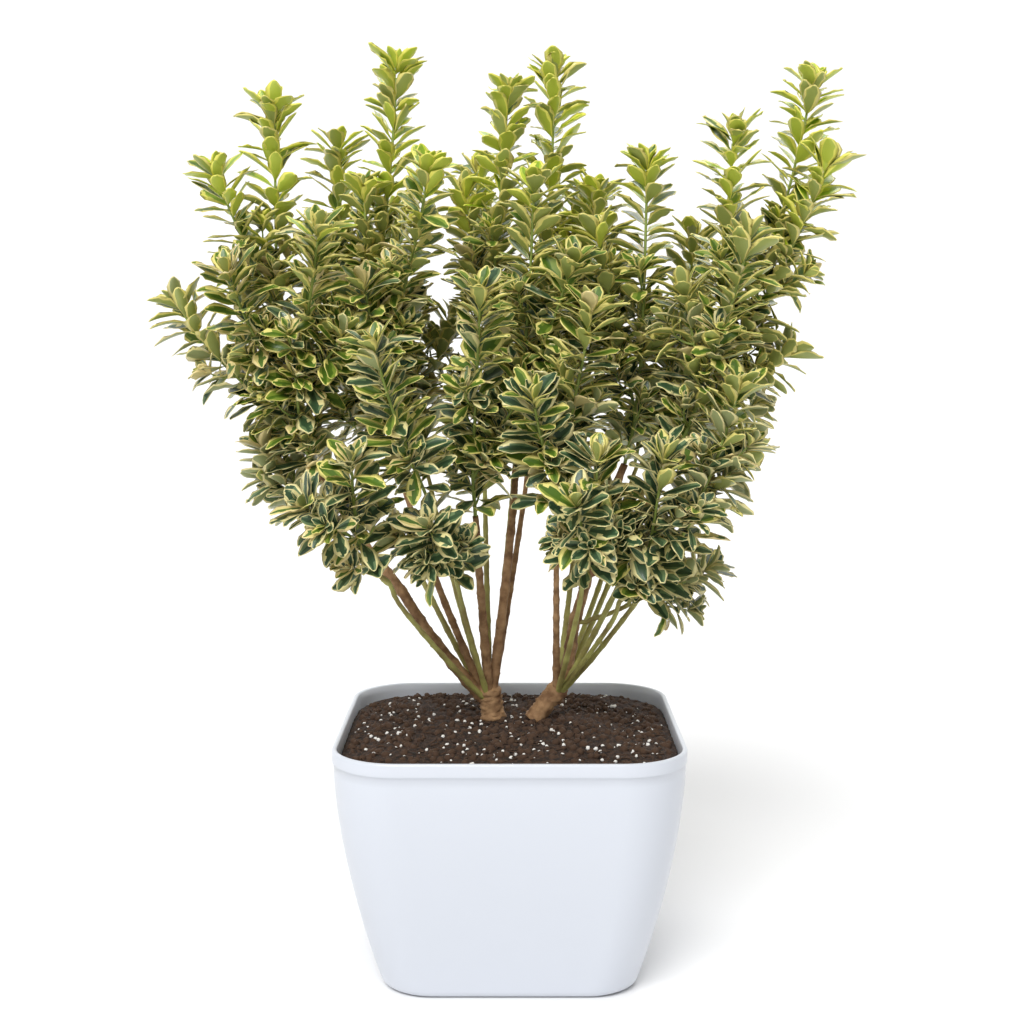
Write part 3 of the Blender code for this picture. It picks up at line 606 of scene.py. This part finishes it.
def bumped(made, scale, strength, distance):
    """Adds fine relief from noise, which leaves the base colour plain."""
    noise = add_noise(made, scale, detail=6)
    bump = made.node_tree.nodes.new("ShaderNodeBump")
    bump.inputs["Strength"].default_value = strength
    bump.inputs["Distance"].default_value = distance
    made.node_tree.links.new(noise.outputs["Fac"], bump.inputs["Height"])
    made.node_tree.links.new(bump.outputs["Normal"], shader_of(made).inputs["Normal"])
    return made


def patterned(made, scale, dark, light):
    """Mottles a material's colour between two shades."""
    noise = add_noise(made, scale, detail=8)
    ramp = made.node_tree.nodes.new("ShaderNodeValToRGB")
    low, high = ramp.color_ramp.elements
    low.position, high.position = 0.35, 0.68
    low.color, high.color = (*dark, 1), (*light, 1)
    made.node_tree.links.new(noise.outputs["Fac"], ramp.inputs["Fac"])
    made.node_tree.links.new(ramp.outputs["Color"], shader_of(made).inputs["Base Color"])
    return made


def mesh_piece(name, points, faces, looks, which=None):
    """One mesh object from arrays. Faces is a list of arrays of 3 or 4 columns."""
    mesh = bpy.data.meshes.new(name)
    mesh.vertices.add(len(points))
    mesh.vertices.foreach_set("co", np.ascontiguousarray(points, np.float32).ravel())
    loops = np.concatenate([f.ravel() for f in faces]).astype(np.int32)
    sizes = np.concatenate([np.full(len(f), f.shape[1]) for f in faces])
    mesh.loops.add(len(loops))
    mesh.loops.foreach_set("vertex_index", loops)
    mesh.polygons.add(len(sizes))
    mesh.polygons.foreach_set("loop_start", (np.cumsum(sizes) - sizes).astype(np.int32))
    if which is not None:
        mesh.polygons.foreach_set("material_index", which.astype(np.int32))
    mesh.polygons.foreach_set("use_smooth", np.full(len(sizes), True))
    for look in looks:
        mesh.materials.append(look)
    mesh.update(calc_edges=True)
    mesh.validate()
    obj = bpy.data.objects.new(name, mesh)
    bpy.context.scene.collection.objects.link(obj)
    return obj


def ring_faces(rings, around):
    """Four-cornered faces between closed rings of points that follow each other."""
    ring, place = np.meshgrid(np.arange(rings - 1), np.arange(around), indexing="ij")
    low, high, beside = ring * around, (ring + 1) * around, (place + 1) % around
    return np.stack([low + place, low + beside, high + beside, high + place], axis=-1).reshape(-1, 4)


def cap_faces(rings, around):
    """Fans that close the first and the last ring, each round a point that comes after all rings."""
    place = np.arange(around)
    beside, last = (place + 1) % around, (rings - 1) * around
    first_middle = np.full(around, rings * around)
    first = np.stack([first_middle, beside, place], axis=1)
    return np.concatenate([first, np.stack([first_middle + 1, last + place, last + beside], axis=1)])


def unit(vectors):
    return vectors / np.maximum(np.linalg.norm(vectors, axis=-1, keepdims=True), 1e-9)


# Leaves

def leaf_faces():
    """Faces of one leaf and the zone of each."""
    rows, columns, wide = len(ROWS), len(COLUMNS), len(COLUMNS) + len(UNDER_FROM)
    foot, tip = rows * wide, rows * wide + 1
    strips = [(column, column + 1, zone) for column, zone in enumerate(COLUMN_ZONES)]
    below = [0, *range(columns, wide), columns - 1][::-1]
    strips += [(left, right, zone) for left, right, zone in zip(below, below[1:], UNDER_ZONES)]
    quads, quad_zones, tris, tri_zones = [], [], [], []
    for left, right, zone in strips:
        tris.append((foot, right, left))
        tris.append((tip, (rows - 1) * wide + left, (rows - 1) * wide + right))
        tri_zones += [zone, MARGIN]
        for row in range(rows - 1):
            low, high = row * wide, (row + 1) * wide
            quads.append((low + left, low + right, high + right, high + left))
            quad_zones.append(zone)
    return np.array(quads), np.array(quad_zones), np.array(tris), np.array(tri_zones)


def leaf_points(leaves, rng):
    """Corner points of many leaves. Leaves holds a root, two axes, a length and a width for each."""
    root, along, face, length, width = leaves
    count, rows, columns = len(root), len(ROWS), len(COLUMNS)
    side = np.cross(along, face)
    long = length[:, None, None]
    u = np.broadcast_to(COLUMNS, (count, rows, columns)).copy()
    wobble = rng.normal(0, OUTER_WOBBLE, (count, rows, 2))
    u[:, :, OUTER_EDGES] += wobble + rng.normal(0, OUTER_SHIFT, (count, 1, 2))
    u[:, :, INNER_EDGES] += rng.normal(0, INNER_WOBBLE, (count, rows, 2))
    fold = rng.uniform(*FOLDS, count)[:, None, None]
    curl = rng.uniform(*CURLS, count)[:, None, None]
    wave = rng.normal(0, WAVE, (count, rows, 1))
    x = u * WIDTHS[None, :, None] * 0.5 * width[:, None, None]
    y = np.broadcast_to(ROWS[None, :, None], u.shape) * long
    z = np.abs(x) * fold - curl * long * ROWS[None, :, None] ** 2
    z = z + wave * long * u**2
    top = np.stack([x, y, z], axis=-1)
    under = top[:, :, UNDER_FROM].copy()
    under[..., 2] -= LEAF_THICK
    local = np.concatenate([top, under], axis=2).reshape(count, -1, 3)
    ends = np.zeros((count, 2, 3))
    ends[:, 0, 1] = -FOOT_LENGTH * length
    ends[:, 1, 1] = length
    ends[:, 1, 2] = -curl[:, 0, 0] * length
    local = np.concatenate([local, ends], axis=1)
    axes = np.stack([side, along, face], axis=1)
    return root[:, None, :] + np.einsum("nvk,nkj->nvj", local, axes)


def leaf_piece(name, leaves, looks, rng):
    """One joined piece of leaves, with stray patches where the zones meet."""
    points = leaf_points(leaves, rng)
    count, per_leaf = points.shape[:2]
    quads, quad_zones, tris, tri_zones = leaf_faces()
    offset = (np.arange(count) * per_leaf)[:, None, None]
    zones = np.tile(quad_zones, (count, 1))
    strays = rng.random(zones.shape)
    zones = np.where((zones == BETWEEN) & (strays < STRAY_MARGIN), MARGIN, zones)
    zones = np.where((zones == BETWEEN) & (strays > STRAY_MIDDLE), MIDDLE, zones)
    faces = [(quads[None] + offset).reshape(-1, 4), (tris[None] + offset).reshape(-1, 3)]
    which = np.concatenate([zones.ravel(), np.tile(tri_zones, count)])
    return mesh_piece(name, points.reshape(-1, 3), faces, looks, which)


def outward_of(way, angle):
    """A direction square to a stem's way, turned about it by an angle."""
    across = unit(np.cross(way, SIDEWAYS))
    return across * cos(angle) + np.cross(way, across) * sin(angle)


def leaf_axes(way, angle, lean):
    """A leaf's outward direction, its blade's and its face's, leaning from its stem's way."""
    outward = outward_of(way, angle)
    return outward, way * cos(lean) + outward * sin(lean), way * sin(lean) - outward * cos(lean)


def pairs_along(line, rng, clean, sizes, step):
    """Opposite pairs of leaves up a line, turned a quarter each, with a tuft at its tip."""
    rows = []
    last = len(line) - 1
    turn = rng.uniform(0, pi)
    place = max(clean * last, FIRST_PAIR)
    while place < last + 0.5:
        at = min(int(place), last)
        height = place / max(last, 1)
        way = heading(line, at)
        tilt = radians(FOOT_TILT - TILT_LOSS * height**2 + rng.uniform(-TILT_SPREAD, TILT_SPREAD))
        size = sizes[0] + (sizes[1] - sizes[0]) * height**2
        for half in (0, pi):
            angle = turn + half + rng.normal(0, AIM_SPREAD)
            outward, blade, face = leaf_axes(way, angle, tilt + rng.normal(0, LEAN_SPREAD))
            spin = rng.normal(0, SPIN_SPREAD)
            face = face * cos(spin) + np.cross(blade, face) * sin(spin)
            grown = size * rng.uniform(*SIZE_SPREAD)
            wide = LEAF_WIDTH * grown * rng.uniform(*WIDTH_SPREAD)
            rows.append((line[at] + outward * BARK_OFFSET, blade, face, LEAF_LENGTH * grown, wide))
        turn += pi / 2 + rng.normal(0, TURN_SPREAD)
        place += step / MM * rng.uniform(*STEP_SPREAD) * (1 - CROWDING * height**2)
    return rows + tuft(line, rng, sizes[1])


def tuft(line, rng, size):
    """The rosette of young leaves that ends a stem."""
    way = heading(line, len(line) - 1)
    turn = rng.uniform(0, pi)
    rows = []
    for level, (tilt, grown) in enumerate(TUFT):
        for half in (0, pi):
            angle = turn + level * pi / 2 + half + rng.normal(0, TUFT_AIM_SPREAD)
            lean = radians(tilt) + rng.normal(0, TUFT_LEAN_SPREAD)
            _, blade, face = leaf_axes(way, angle, lean)
            root = line[-1] + way * level * TUFT_RISE
            long = LEAF_LENGTH * size * grown * rng.uniform(*TUFT_SIZE_SPREAD)
            rows.append((root, blade, face, long, long * LEAF_WIDTH / LEAF_LENGTH * TUFT_WIDENING))
    return rows


def side_twigs(line, rng, clean):
    """Short twigs that leave a stem and turn up beside it."""
    made = []
    last = len(line) - 1
    place = max(clean * last, TWIG_FIRST)
    turn = rng.uniform(0, 2 * pi)
    while place < last * TWIG_TOP:
        root = line[int(place)]
        way = heading(line, int(place))
        turn += TWIG_TURN + rng.normal(0, TWIG_TURN_SPREAD)
        outward = outward_of(way, turn)
        reach = rng.uniform(*TWIG_REACH)
        bend = root + outward * reach * TWIG_BEND_OUT + way * reach * TWIG_BEND_UP
        made.append(arc(root, bend, root + (outward * TWIG_OUT + way * TWIG_UP) * reach, TWIG_POINTS))
        place += TWIG_STEP / MM * rng.uniform(*TWIG_STEP_SPREAD)
    return made


# Tubes

def tube_mesh(points, radii, sides, rough=0.0, rng=None):
    """Points and faces of a closed tube along a curve, with bark's unevenness if asked for."""
    ways = unit(np.gradient(points, axis=0))
    across = np.zeros_like(points)
    guide = np.array([1.0, 0.0, 0.0])
    for i, way in enumerate(ways):
        guide = unit(guide - way * (guide @ way))
        across[i] = guide
    beside = np.cross(ways, across)
    angles = np.arange(sides) * 2 * pi / sides
    reach = radii[:, None] * np.ones(sides)
    if rough:
        reach = reach * (1 + rng.normal(0, rough, reach.shape))
    ring = (
        points[:, None]
        + across[:, None] * (np.cos(angles)[None, :, None] * reach[..., None])
        + beside[:, None] * (np.sin(angles)[None, :, None] * reach[..., None])
    )
    corners = np.concatenate([ring.reshape(-1, 3), points[:1], points[-1:]])
    return corners, ring_faces(len(points), sides), cap_faces(len(points), sides)


def joined_tubes(name, tubes, look):
    """One piece from many (points, quads, triangles)."""
    offset = 0
    points, quads, tris = [], [], []
    for p, q, t in tubes:
        points.append(p)
        quads.append(q + offset)
        tris.append(t + offset)
        offset += len(p)
    faces = [np.concatenate(quads), np.concatenate(tris)]
    return mesh_piece(name, np.concatenate(points), faces, [look])


def smooth_curve(points, radii, count):
    """More points along a curve than the solid has."""
    old = np.linspace(0, 1, len(points))
    new = np.linspace(0, 1, count)
    places = np.stack([np.interp(new, old, points[:, k]) for k in range(3)], axis=1)
    return places, np.interp(new, old, radii)


def bark_tube(points, radii, rng):
    """A limb with knots and shallow ridges."""
    length = np.linalg.norm(np.diff(points, axis=0), axis=1).sum()
    fine, girths = smooth_curve(points, radii, max(int(length / LIMB_STEP), LIMB_LEAST))
    knots = np.zeros(len(fine))
    for place in np.arange(KNOT_FIRST, len(fine) - 2, KNOT_STEP):
        away = np.arange(len(fine)) - place - rng.uniform(-KNOT_SPREAD, KNOT_SPREAD)
        knots += KNOT_SIZE * np.exp(-(away**2) / KNOT_SPAN)
    return tube_mesh(fine, girths * (1 + knots), LIMB_SIDES, LIMB_ROUGH, rng)


# The pot

def square_ring(half, corner, z):
    """Points round a square with round corners, finer than the solid's."""
    turns = (np.arange(4)[:, None] + np.linspace(0, 1, POT_CORNER_STEPS)) * pi / 2
    signs = np.array([(1, 1), (-1, 1), (-1, -1), (1, -1)])
    x = signs[:, :1] * (half - corner) + corner * np.cos(turns)
    y = signs[:, 1:] * (half - corner) + corner * np.sin(turns)
    return np.stack([x.ravel(), y.ravel(), np.full(x.size, z)], axis=1)


def wall_corner(z):
    return FOOT_CORNER + (POT_CORNER - FOOT_CORNER) * z / POT_HEIGHT


def build_pot(look):
    """The pot's smooth shell: foot, bulging wall, band, rim and inner wall."""
    half, band_foot = POT_WIDTH / 2, POT_HEIGHT - RIM_BAND
    rings = [square_ring(wall_half(0) - UNDERSIDE_INSET, UNDERSIDE_CORNER, 0)]
    for turn in np.linspace(0, pi / 2, FOOT_STEPS):
        z = FOOT_ROUND * (1 - cos(turn))
        inset = FOOT_ROUND * FOOT_TUCK * (1 - sin(turn))
        rings.append(square_ring(wall_half(z) - inset, wall_corner(z), z))
    for z in np.linspace(WALL_START, band_foot, WALL_STEPS):
        rings.append(square_ring(wall_half(z), wall_corner(z), z))
    for inset, rise in BAND_PROFILE:
        rings.append(square_ring(half - inset * MM, POT_CORNER - inset * MM, band_foot + rise * MM))
    for turn in np.linspace(0, pi, RIM_STEPS):
        inset = RIM_ROUND * (1 - cos(turn))
        z = POT_HEIGHT - RIM_ROUND * (1 - sin(turn))
        rings.append(square_ring(half - inset, POT_CORNER - inset, z))
    for z in np.linspace(INNER_TOP, INNER_FLOOR, INNER_STEPS):
        rings.append(square_ring(wall_half(z) - WALL, wall_corner(z) - WALL, z))
    count, around = len(rings), len(rings[0])
    points = np.concatenate([*rings, [[0, 0, 0], [0, 0, INNER_FLOOR]]])
    faces = [ring_faces(count, around), cap_faces(count, around)]
    piece = mesh_piece("pot_shell", points, faces, [look])
    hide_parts("pot")
    return piece


# Wood and foliage

def build_wood(boughs, bark, green):
    """The two stumps and all boughs, brown ones and green ones apart."""
    rng = np.random.default_rng(WOOD_SEED)
    stumps = []
    for spec in STOOLS:
        centre = np.array([[x * MM, y * MM, SOIL_TOP + GAP + h * MM] for x, y, h, _ in spec.rings])
        girths = np.array([r * MM for *_, r in spec.rings])
        fine, fat = smooth_curve(centre, girths, STUMP_RINGS)
        stumps.append(tube_mesh(fine, fat * STUMP_SLIMMING, STUMP_SIDES, STUMP_ROUGH, rng))
    pieces = [joined_tubes("stumps", stumps, bark)]
    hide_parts(*[s.name for s in STOOLS])
    for kind, look, thick in (("bark", bark, True), ("green_stem", green, False)):
        chosen = [b for b in BOUGHS if (b.girth > BARK_GIRTH) == thick]
        limbs = [bark_tube(boughs[b.name].points, boughs[b.name].radii, rng) for b in chosen]
        piece = joined_tubes("boughs_" + kind, limbs, look)
        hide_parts(*[b.name for b in chosen])
        pieces.append(piece)
    return pieces


def drawn_stem(stem, line):
    """A mass's stem as wood, ending just under its topmost leaves."""
    wood = line[: max(len(line) - WOOD_CUT, 6)]
    girths = np.linspace(stem.radii[0], stem.radii[-1], len(line))[: len(wood)] * STEM_SLIMMING
    return tube_mesh(*smooth_curve(wood, girths, STEM_RINGS), STEM_SIDES)


def build_foliage(masses, looks, twig_look):
    """Leaves and twigs of every mass, each leaf dealt out to its class."""
    rng = np.random.default_rng(FOLIAGE_SEED)
    kinds = {kind: [] for kind in LEAF_LOOKS}
    twigs = []
    for spec in MASSES:
        for i, stem in enumerate(masses[spec.name]):
            clean = spec.clean if i == 0 else SPIRE_CLEAN
            line = finely(stem.points)
            line = line[: max(len(line) - TIP_CUT, 8)]
            twigs.append(drawn_stem(stem, line))
            sprays = [(line, clean, FULL_SIZES, PAIR_STEP)]
            for twig in side_twigs(line, rng, clean):
                twigs.append(tube_mesh(twig, np.linspace(*TWIG_GIRTHS, len(twig)) * MM, TWIG_SIDES))
                sprays.append((finely(twig), TWIG_CLEAN, TWIG_SIZES, TWIG_PAIR_STEP))
            for spray, bare, sizes, step in sprays:
                for leaf in pairs_along(spray, rng, bare, sizes, step):
                    kinds[class_of(leaf[0], rng)].append(leaf)
    pieces = []
    for kind, leaves in kinds.items():
        for start in range(0, len(leaves), PIECE_LEAVES):
            chunk = [np.array(c) for c in zip(*leaves[start : start + PIECE_LEAVES])]
            name = f"leaves_{kind}_{start // PIECE_LEAVES}"
            pieces.append(leaf_piece(name, chunk, looks[kind], rng))
    twig_piece = joined_tubes("twigs", twigs, twig_look)
    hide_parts(*[m.name for m in MASSES])
    return [*pieces, twig_piece]


def class_of(root, rng):
    """A leaf's class: young at the tops, darker low down, cream most often on the left."""
    height = root[2] / MM
    draw = rng.random()
    if height > YOUNG_ABOVE + CLASS_FADE * draw:
        return "young" if rng.random() < YOUNG_SHARE else "upper"
    if draw < (CREAM_COMMON if root[0] < CREAM_SIDE else CREAM_RARE):
        return "cream"
    if height < LOWER_BELOW + CLASS_FADE * rng.normal():
        return "lower"
    return "upper"


# The soil

def soil_reach(angle):
    """How far the soil goes in a direction, as a share of its half width."""
    corners = abs(cos(angle)) ** SOIL_SQUARENESS + abs(sin(angle)) ** SOIL_SQUARENESS
    return corners ** (-1 / SOIL_SQUARENESS)


def soil_height(inward):
    """The soil's height at a share of the way in from its edge."""
    return SOIL_EDGE + (SOIL_TOP - SOIL_EDGE) * min(1, inward * 2) ** SOIL_RISE


def soil_half():
    return wall_half(SOIL_EDGE) - WALL - GAP


def soil_surface(look, rng):
    """The soil's uneven top, closed below."""
    angles = np.arange(SOIL_AROUND) * 2 * pi / SOIL_AROUND
    square = np.array([soil_reach(a) for a in angles])
    swells = rng.uniform(-1, 1, (SWELLS, 4))
    rings = []
    for share in np.linspace(0, 1, SOIL_RINGS):
        radius = soil_half() * (1 - share) * square + SOIL_MIDDLE
        x, y = radius * np.cos(angles), radius * np.sin(angles)
        across, along = x / MM * SWELL_PITCH, y / MM * SWELL_PITCH
        swell = sum(
            size * np.sin(across * (1 + a) + along * (1 + b) + SWELL_TURN * c) for size, a, b, c in swells
        )
        rough = rng.uniform(-SOIL_ROUGH, SOIL_ROUGH, SOIL_AROUND) * MM
        rings.append(np.stack([x, y, soil_height(share) + swell * SWELL_HEIGHT + rough], axis=1))
    skirt = rings[0].copy()
    skirt[:, 2] = SOIL_EDGE - SOIL_SKIRT
    points = np.concatenate([skirt, *rings])
    return mesh_piece("soil_top", points, [ring_faces(SOIL_RINGS + 1, SOIL_AROUND)], [look])


def on_soil(rng):
    """A place drawn evenly over the soil's surface."""
    angle, share = rng.uniform(0, 2 * pi), sqrt(rng.random()) * STREWN
    reach = soil_half() * share * soil_reach(angle)
    return np.array([reach * cos(angle), reach * sin(angle), soil_height(1 - share)])


def lumps(kind, rng):
    """Small closed lumps strewn over the soil."""
    made = []
    along = np.linspace(-1, 1, len(kind.profile))[:, None]
    for _ in range(kind.count):
        place = on_soil(rng)
        size = rng.uniform(*kind.sizes) * MM
        line = place + along * unit(rng.normal(size=3)) * size
        made.append(tube_mesh(line, np.array(kind.profile) * size, kind.sides, kind.rough, rng))
    return made


def strands(rng):
    """Short bent fibres that lie on the soil."""
    made = []
    for _ in range(STRANDS):
        place = on_soil(rng) + (0, 0, STRAND_LIFT)
        way = unit(rng.normal(size=3) * STRAND_LIE)
        length = rng.uniform(*STRAND_LENGTHS) * MM
        bend = rng.normal(size=3) * STRAND_BEND_LIE * length * STRAND_BEND
        line = arc(place - way * length / 2, place + bend, place + way * length / 2, STRAND_POINTS)
        girths = np.full(STRAND_POINTS, rng.uniform(*STRAND_GIRTHS) * MM)
        made.append(tube_mesh(line, girths, STRAND_SIDES))
    return made


def build_soil(soil_look, grain_look, fibre_look):
    """The soil's top with grains of perlite, fibres and crumbs."""
    rng = np.random.default_rng(SOIL_SEED)
    soil_top = soil_surface(soil_look, rng)
    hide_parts("soil")
    grains = lumps(GRAINS, rng)
    crumbs = strands(rng) + lumps(CRUMBS, rng)
    strewn = [joined_tubes("perlite", grains, grain_look), joined_tubes("soil_crumbs", crumbs, fibre_look)]
    return [soil_top, *strewn]


# Light, backdrop and camera

def surround():
    """Even white light from all round, seen brighter by the camera than by the plant."""
    world = bpy.data.worlds.new("surround")
    world.use_nodes = True
    nodes, links = world.node_tree.nodes, world.node_tree.links
    soft = nodes["Background"]
    soft.inputs["Color"].default_value = (1, 1, 1, 1)
    soft.inputs["Strength"].default_value = SURROUND_LIGHT
    seen = nodes.new("ShaderNodeBackground")
    seen.inputs["Color"].default_value = SURROUND_SEEN
    path = nodes.new("ShaderNodeLightPath")
    mix = nodes.new("ShaderNodeMixShader")
    links.new(path.outputs["Is Camera Ray"], mix.inputs[0])
    links.new(soft.outputs["Background"], mix.inputs[1])
    links.new(seen.outputs["Background"], mix.inputs[2])
    links.new(mix.outputs["Shader"], nodes["World Output"].inputs["Surface"])
    bpy.context.scene.world = world


def backdrop():
    """A pale floor that bends up into the background."""
    turn = np.linspace(0, pi / 2, BACKDROP_STEPS)
    out, up = BACKDROP_NEAR + BACKDROP_BEND * np.sin(turn), BACKDROP_BEND * (1 - np.cos(turn))
    bend = np.stack([out, up], axis=1)
    profile = np.concatenate([[[FLOOR_FRONT, 0]], bend, [[BACKDROP_NEAR + BACKDROP_BEND, BACKDROP_TOP]]])
    points = np.array([[x, y, z - FLOOR_DROP] for y, z in profile for x in (-FLOOR_HALF, FLOOR_HALF)])
    steps = np.arange(len(profile) - 1)[:, None] * 2
    quads = steps + np.array([[0, 1, 3, 2]])
    return mesh_piece("backdrop", points, [quads], [plain("backdrop", FLOOR_LOOK, 0.8)])


def staged(name, data):
    """A light or camera as an object of the stage."""
    obj = bpy.data.objects.new(name, data)
    bpy.context.scene.collection.objects.link(obj)
    return obj


def studio():
    """Backdrop, a soft sun, a key light, a light from behind, a bright surround and the camera."""
    backdrop()
    sun = bpy.data.lights.new("sun", "SUN")
    sun.energy = SUN_POWER
    sun.angle = SUN_ANGLE
    high = staged("sun", sun)
    high.rotation_euler = [radians(angle) for angle in SUN_TILT]
    for name, place, size, power in LAMPS:
        light = bpy.data.lights.new(name, "AREA")
        light.size = size
        light.energy = power
        lamp = staged(name, light)
        lamp.location = place
        lamp.rotation_euler = (Vector(LAMP_AIM) - Vector(place)).to_track_quat("-Z", "Y").to_euler()
    surround()
    camera = bpy.data.cameras.new("camera")
    camera.lens = CAMERA_LENS
    eye = staged("camera", camera)
    eye.location = CAMERA_PLACE
    eye.rotation_euler = (pi / 2 - CAMERA_PITCH, 0, 0)
    bpy.context.scene.camera = eye
    bpy.context.scene.view_settings.view_transform = "Standard"


def leaf_looks():
    """Each class's four zones, every one a plain colour."""
    return {
        kind: [
            bumped(plain(f"leaf_{kind}_{zone}", colour, 0.42, sheen=0.12), 900, 0.25, 0.0003)
            for zone, colour in zip(ZONE_NAMES, colours)
        ]
        for kind, colours in LEAF_LOOKS.items()
    }


def main():
    boughs, masses = grow_all()

    pot_look = bumped(plain("pot_white", (0.62, 0.65, 0.71), 0.32, sheen=0.15), 60, 0.05, 0.0004)
    bark = bumped(plain("bark", (0.24, 0.13, 0.06), 0.8), 420, 0.6, 0.001)
    patterned(bark, 130, (0.17, 0.085, 0.035), (0.42, 0.25, 0.12))
    green = bumped(plain("green_bark", (0.3, 0.3, 0.1), 0.65), 420, 0.4, 0.0007)
    patterned(green, 60, (0.24, 0.19, 0.06), (0.42, 0.42, 0.12))
    twig_look = bumped(plain("twig_green", (0.28, 0.36, 0.08), 0.6), 500, 0.4, 0.0005)
    leaf_classes = leaf_looks()
    soil_look = bumped(plain("soil", (0.03, 0.015, 0.01), 0.95), 500, 1.0, 0.002)
    patterned(soil_look, 300, (0.012, 0.007, 0.004), (0.07, 0.035, 0.02))
    grain = bumped(plain("perlite", (0.82, 0.80, 0.76), 0.9), 900, 0.6, 0.0006)
    fibre = bumped(plain("soil_fibre", (0.06, 0.03, 0.015), 0.9), 700, 0.6, 0.0006)

    made = [build_pot(pot_look), *build_wood(boughs, bark, green)]
    made += build_foliage(masses, leaf_classes, twig_look)
    made += build_soil(soil_look, grain, fibre)
    for piece in made:
        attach(piece, "root")
    studio()


main()
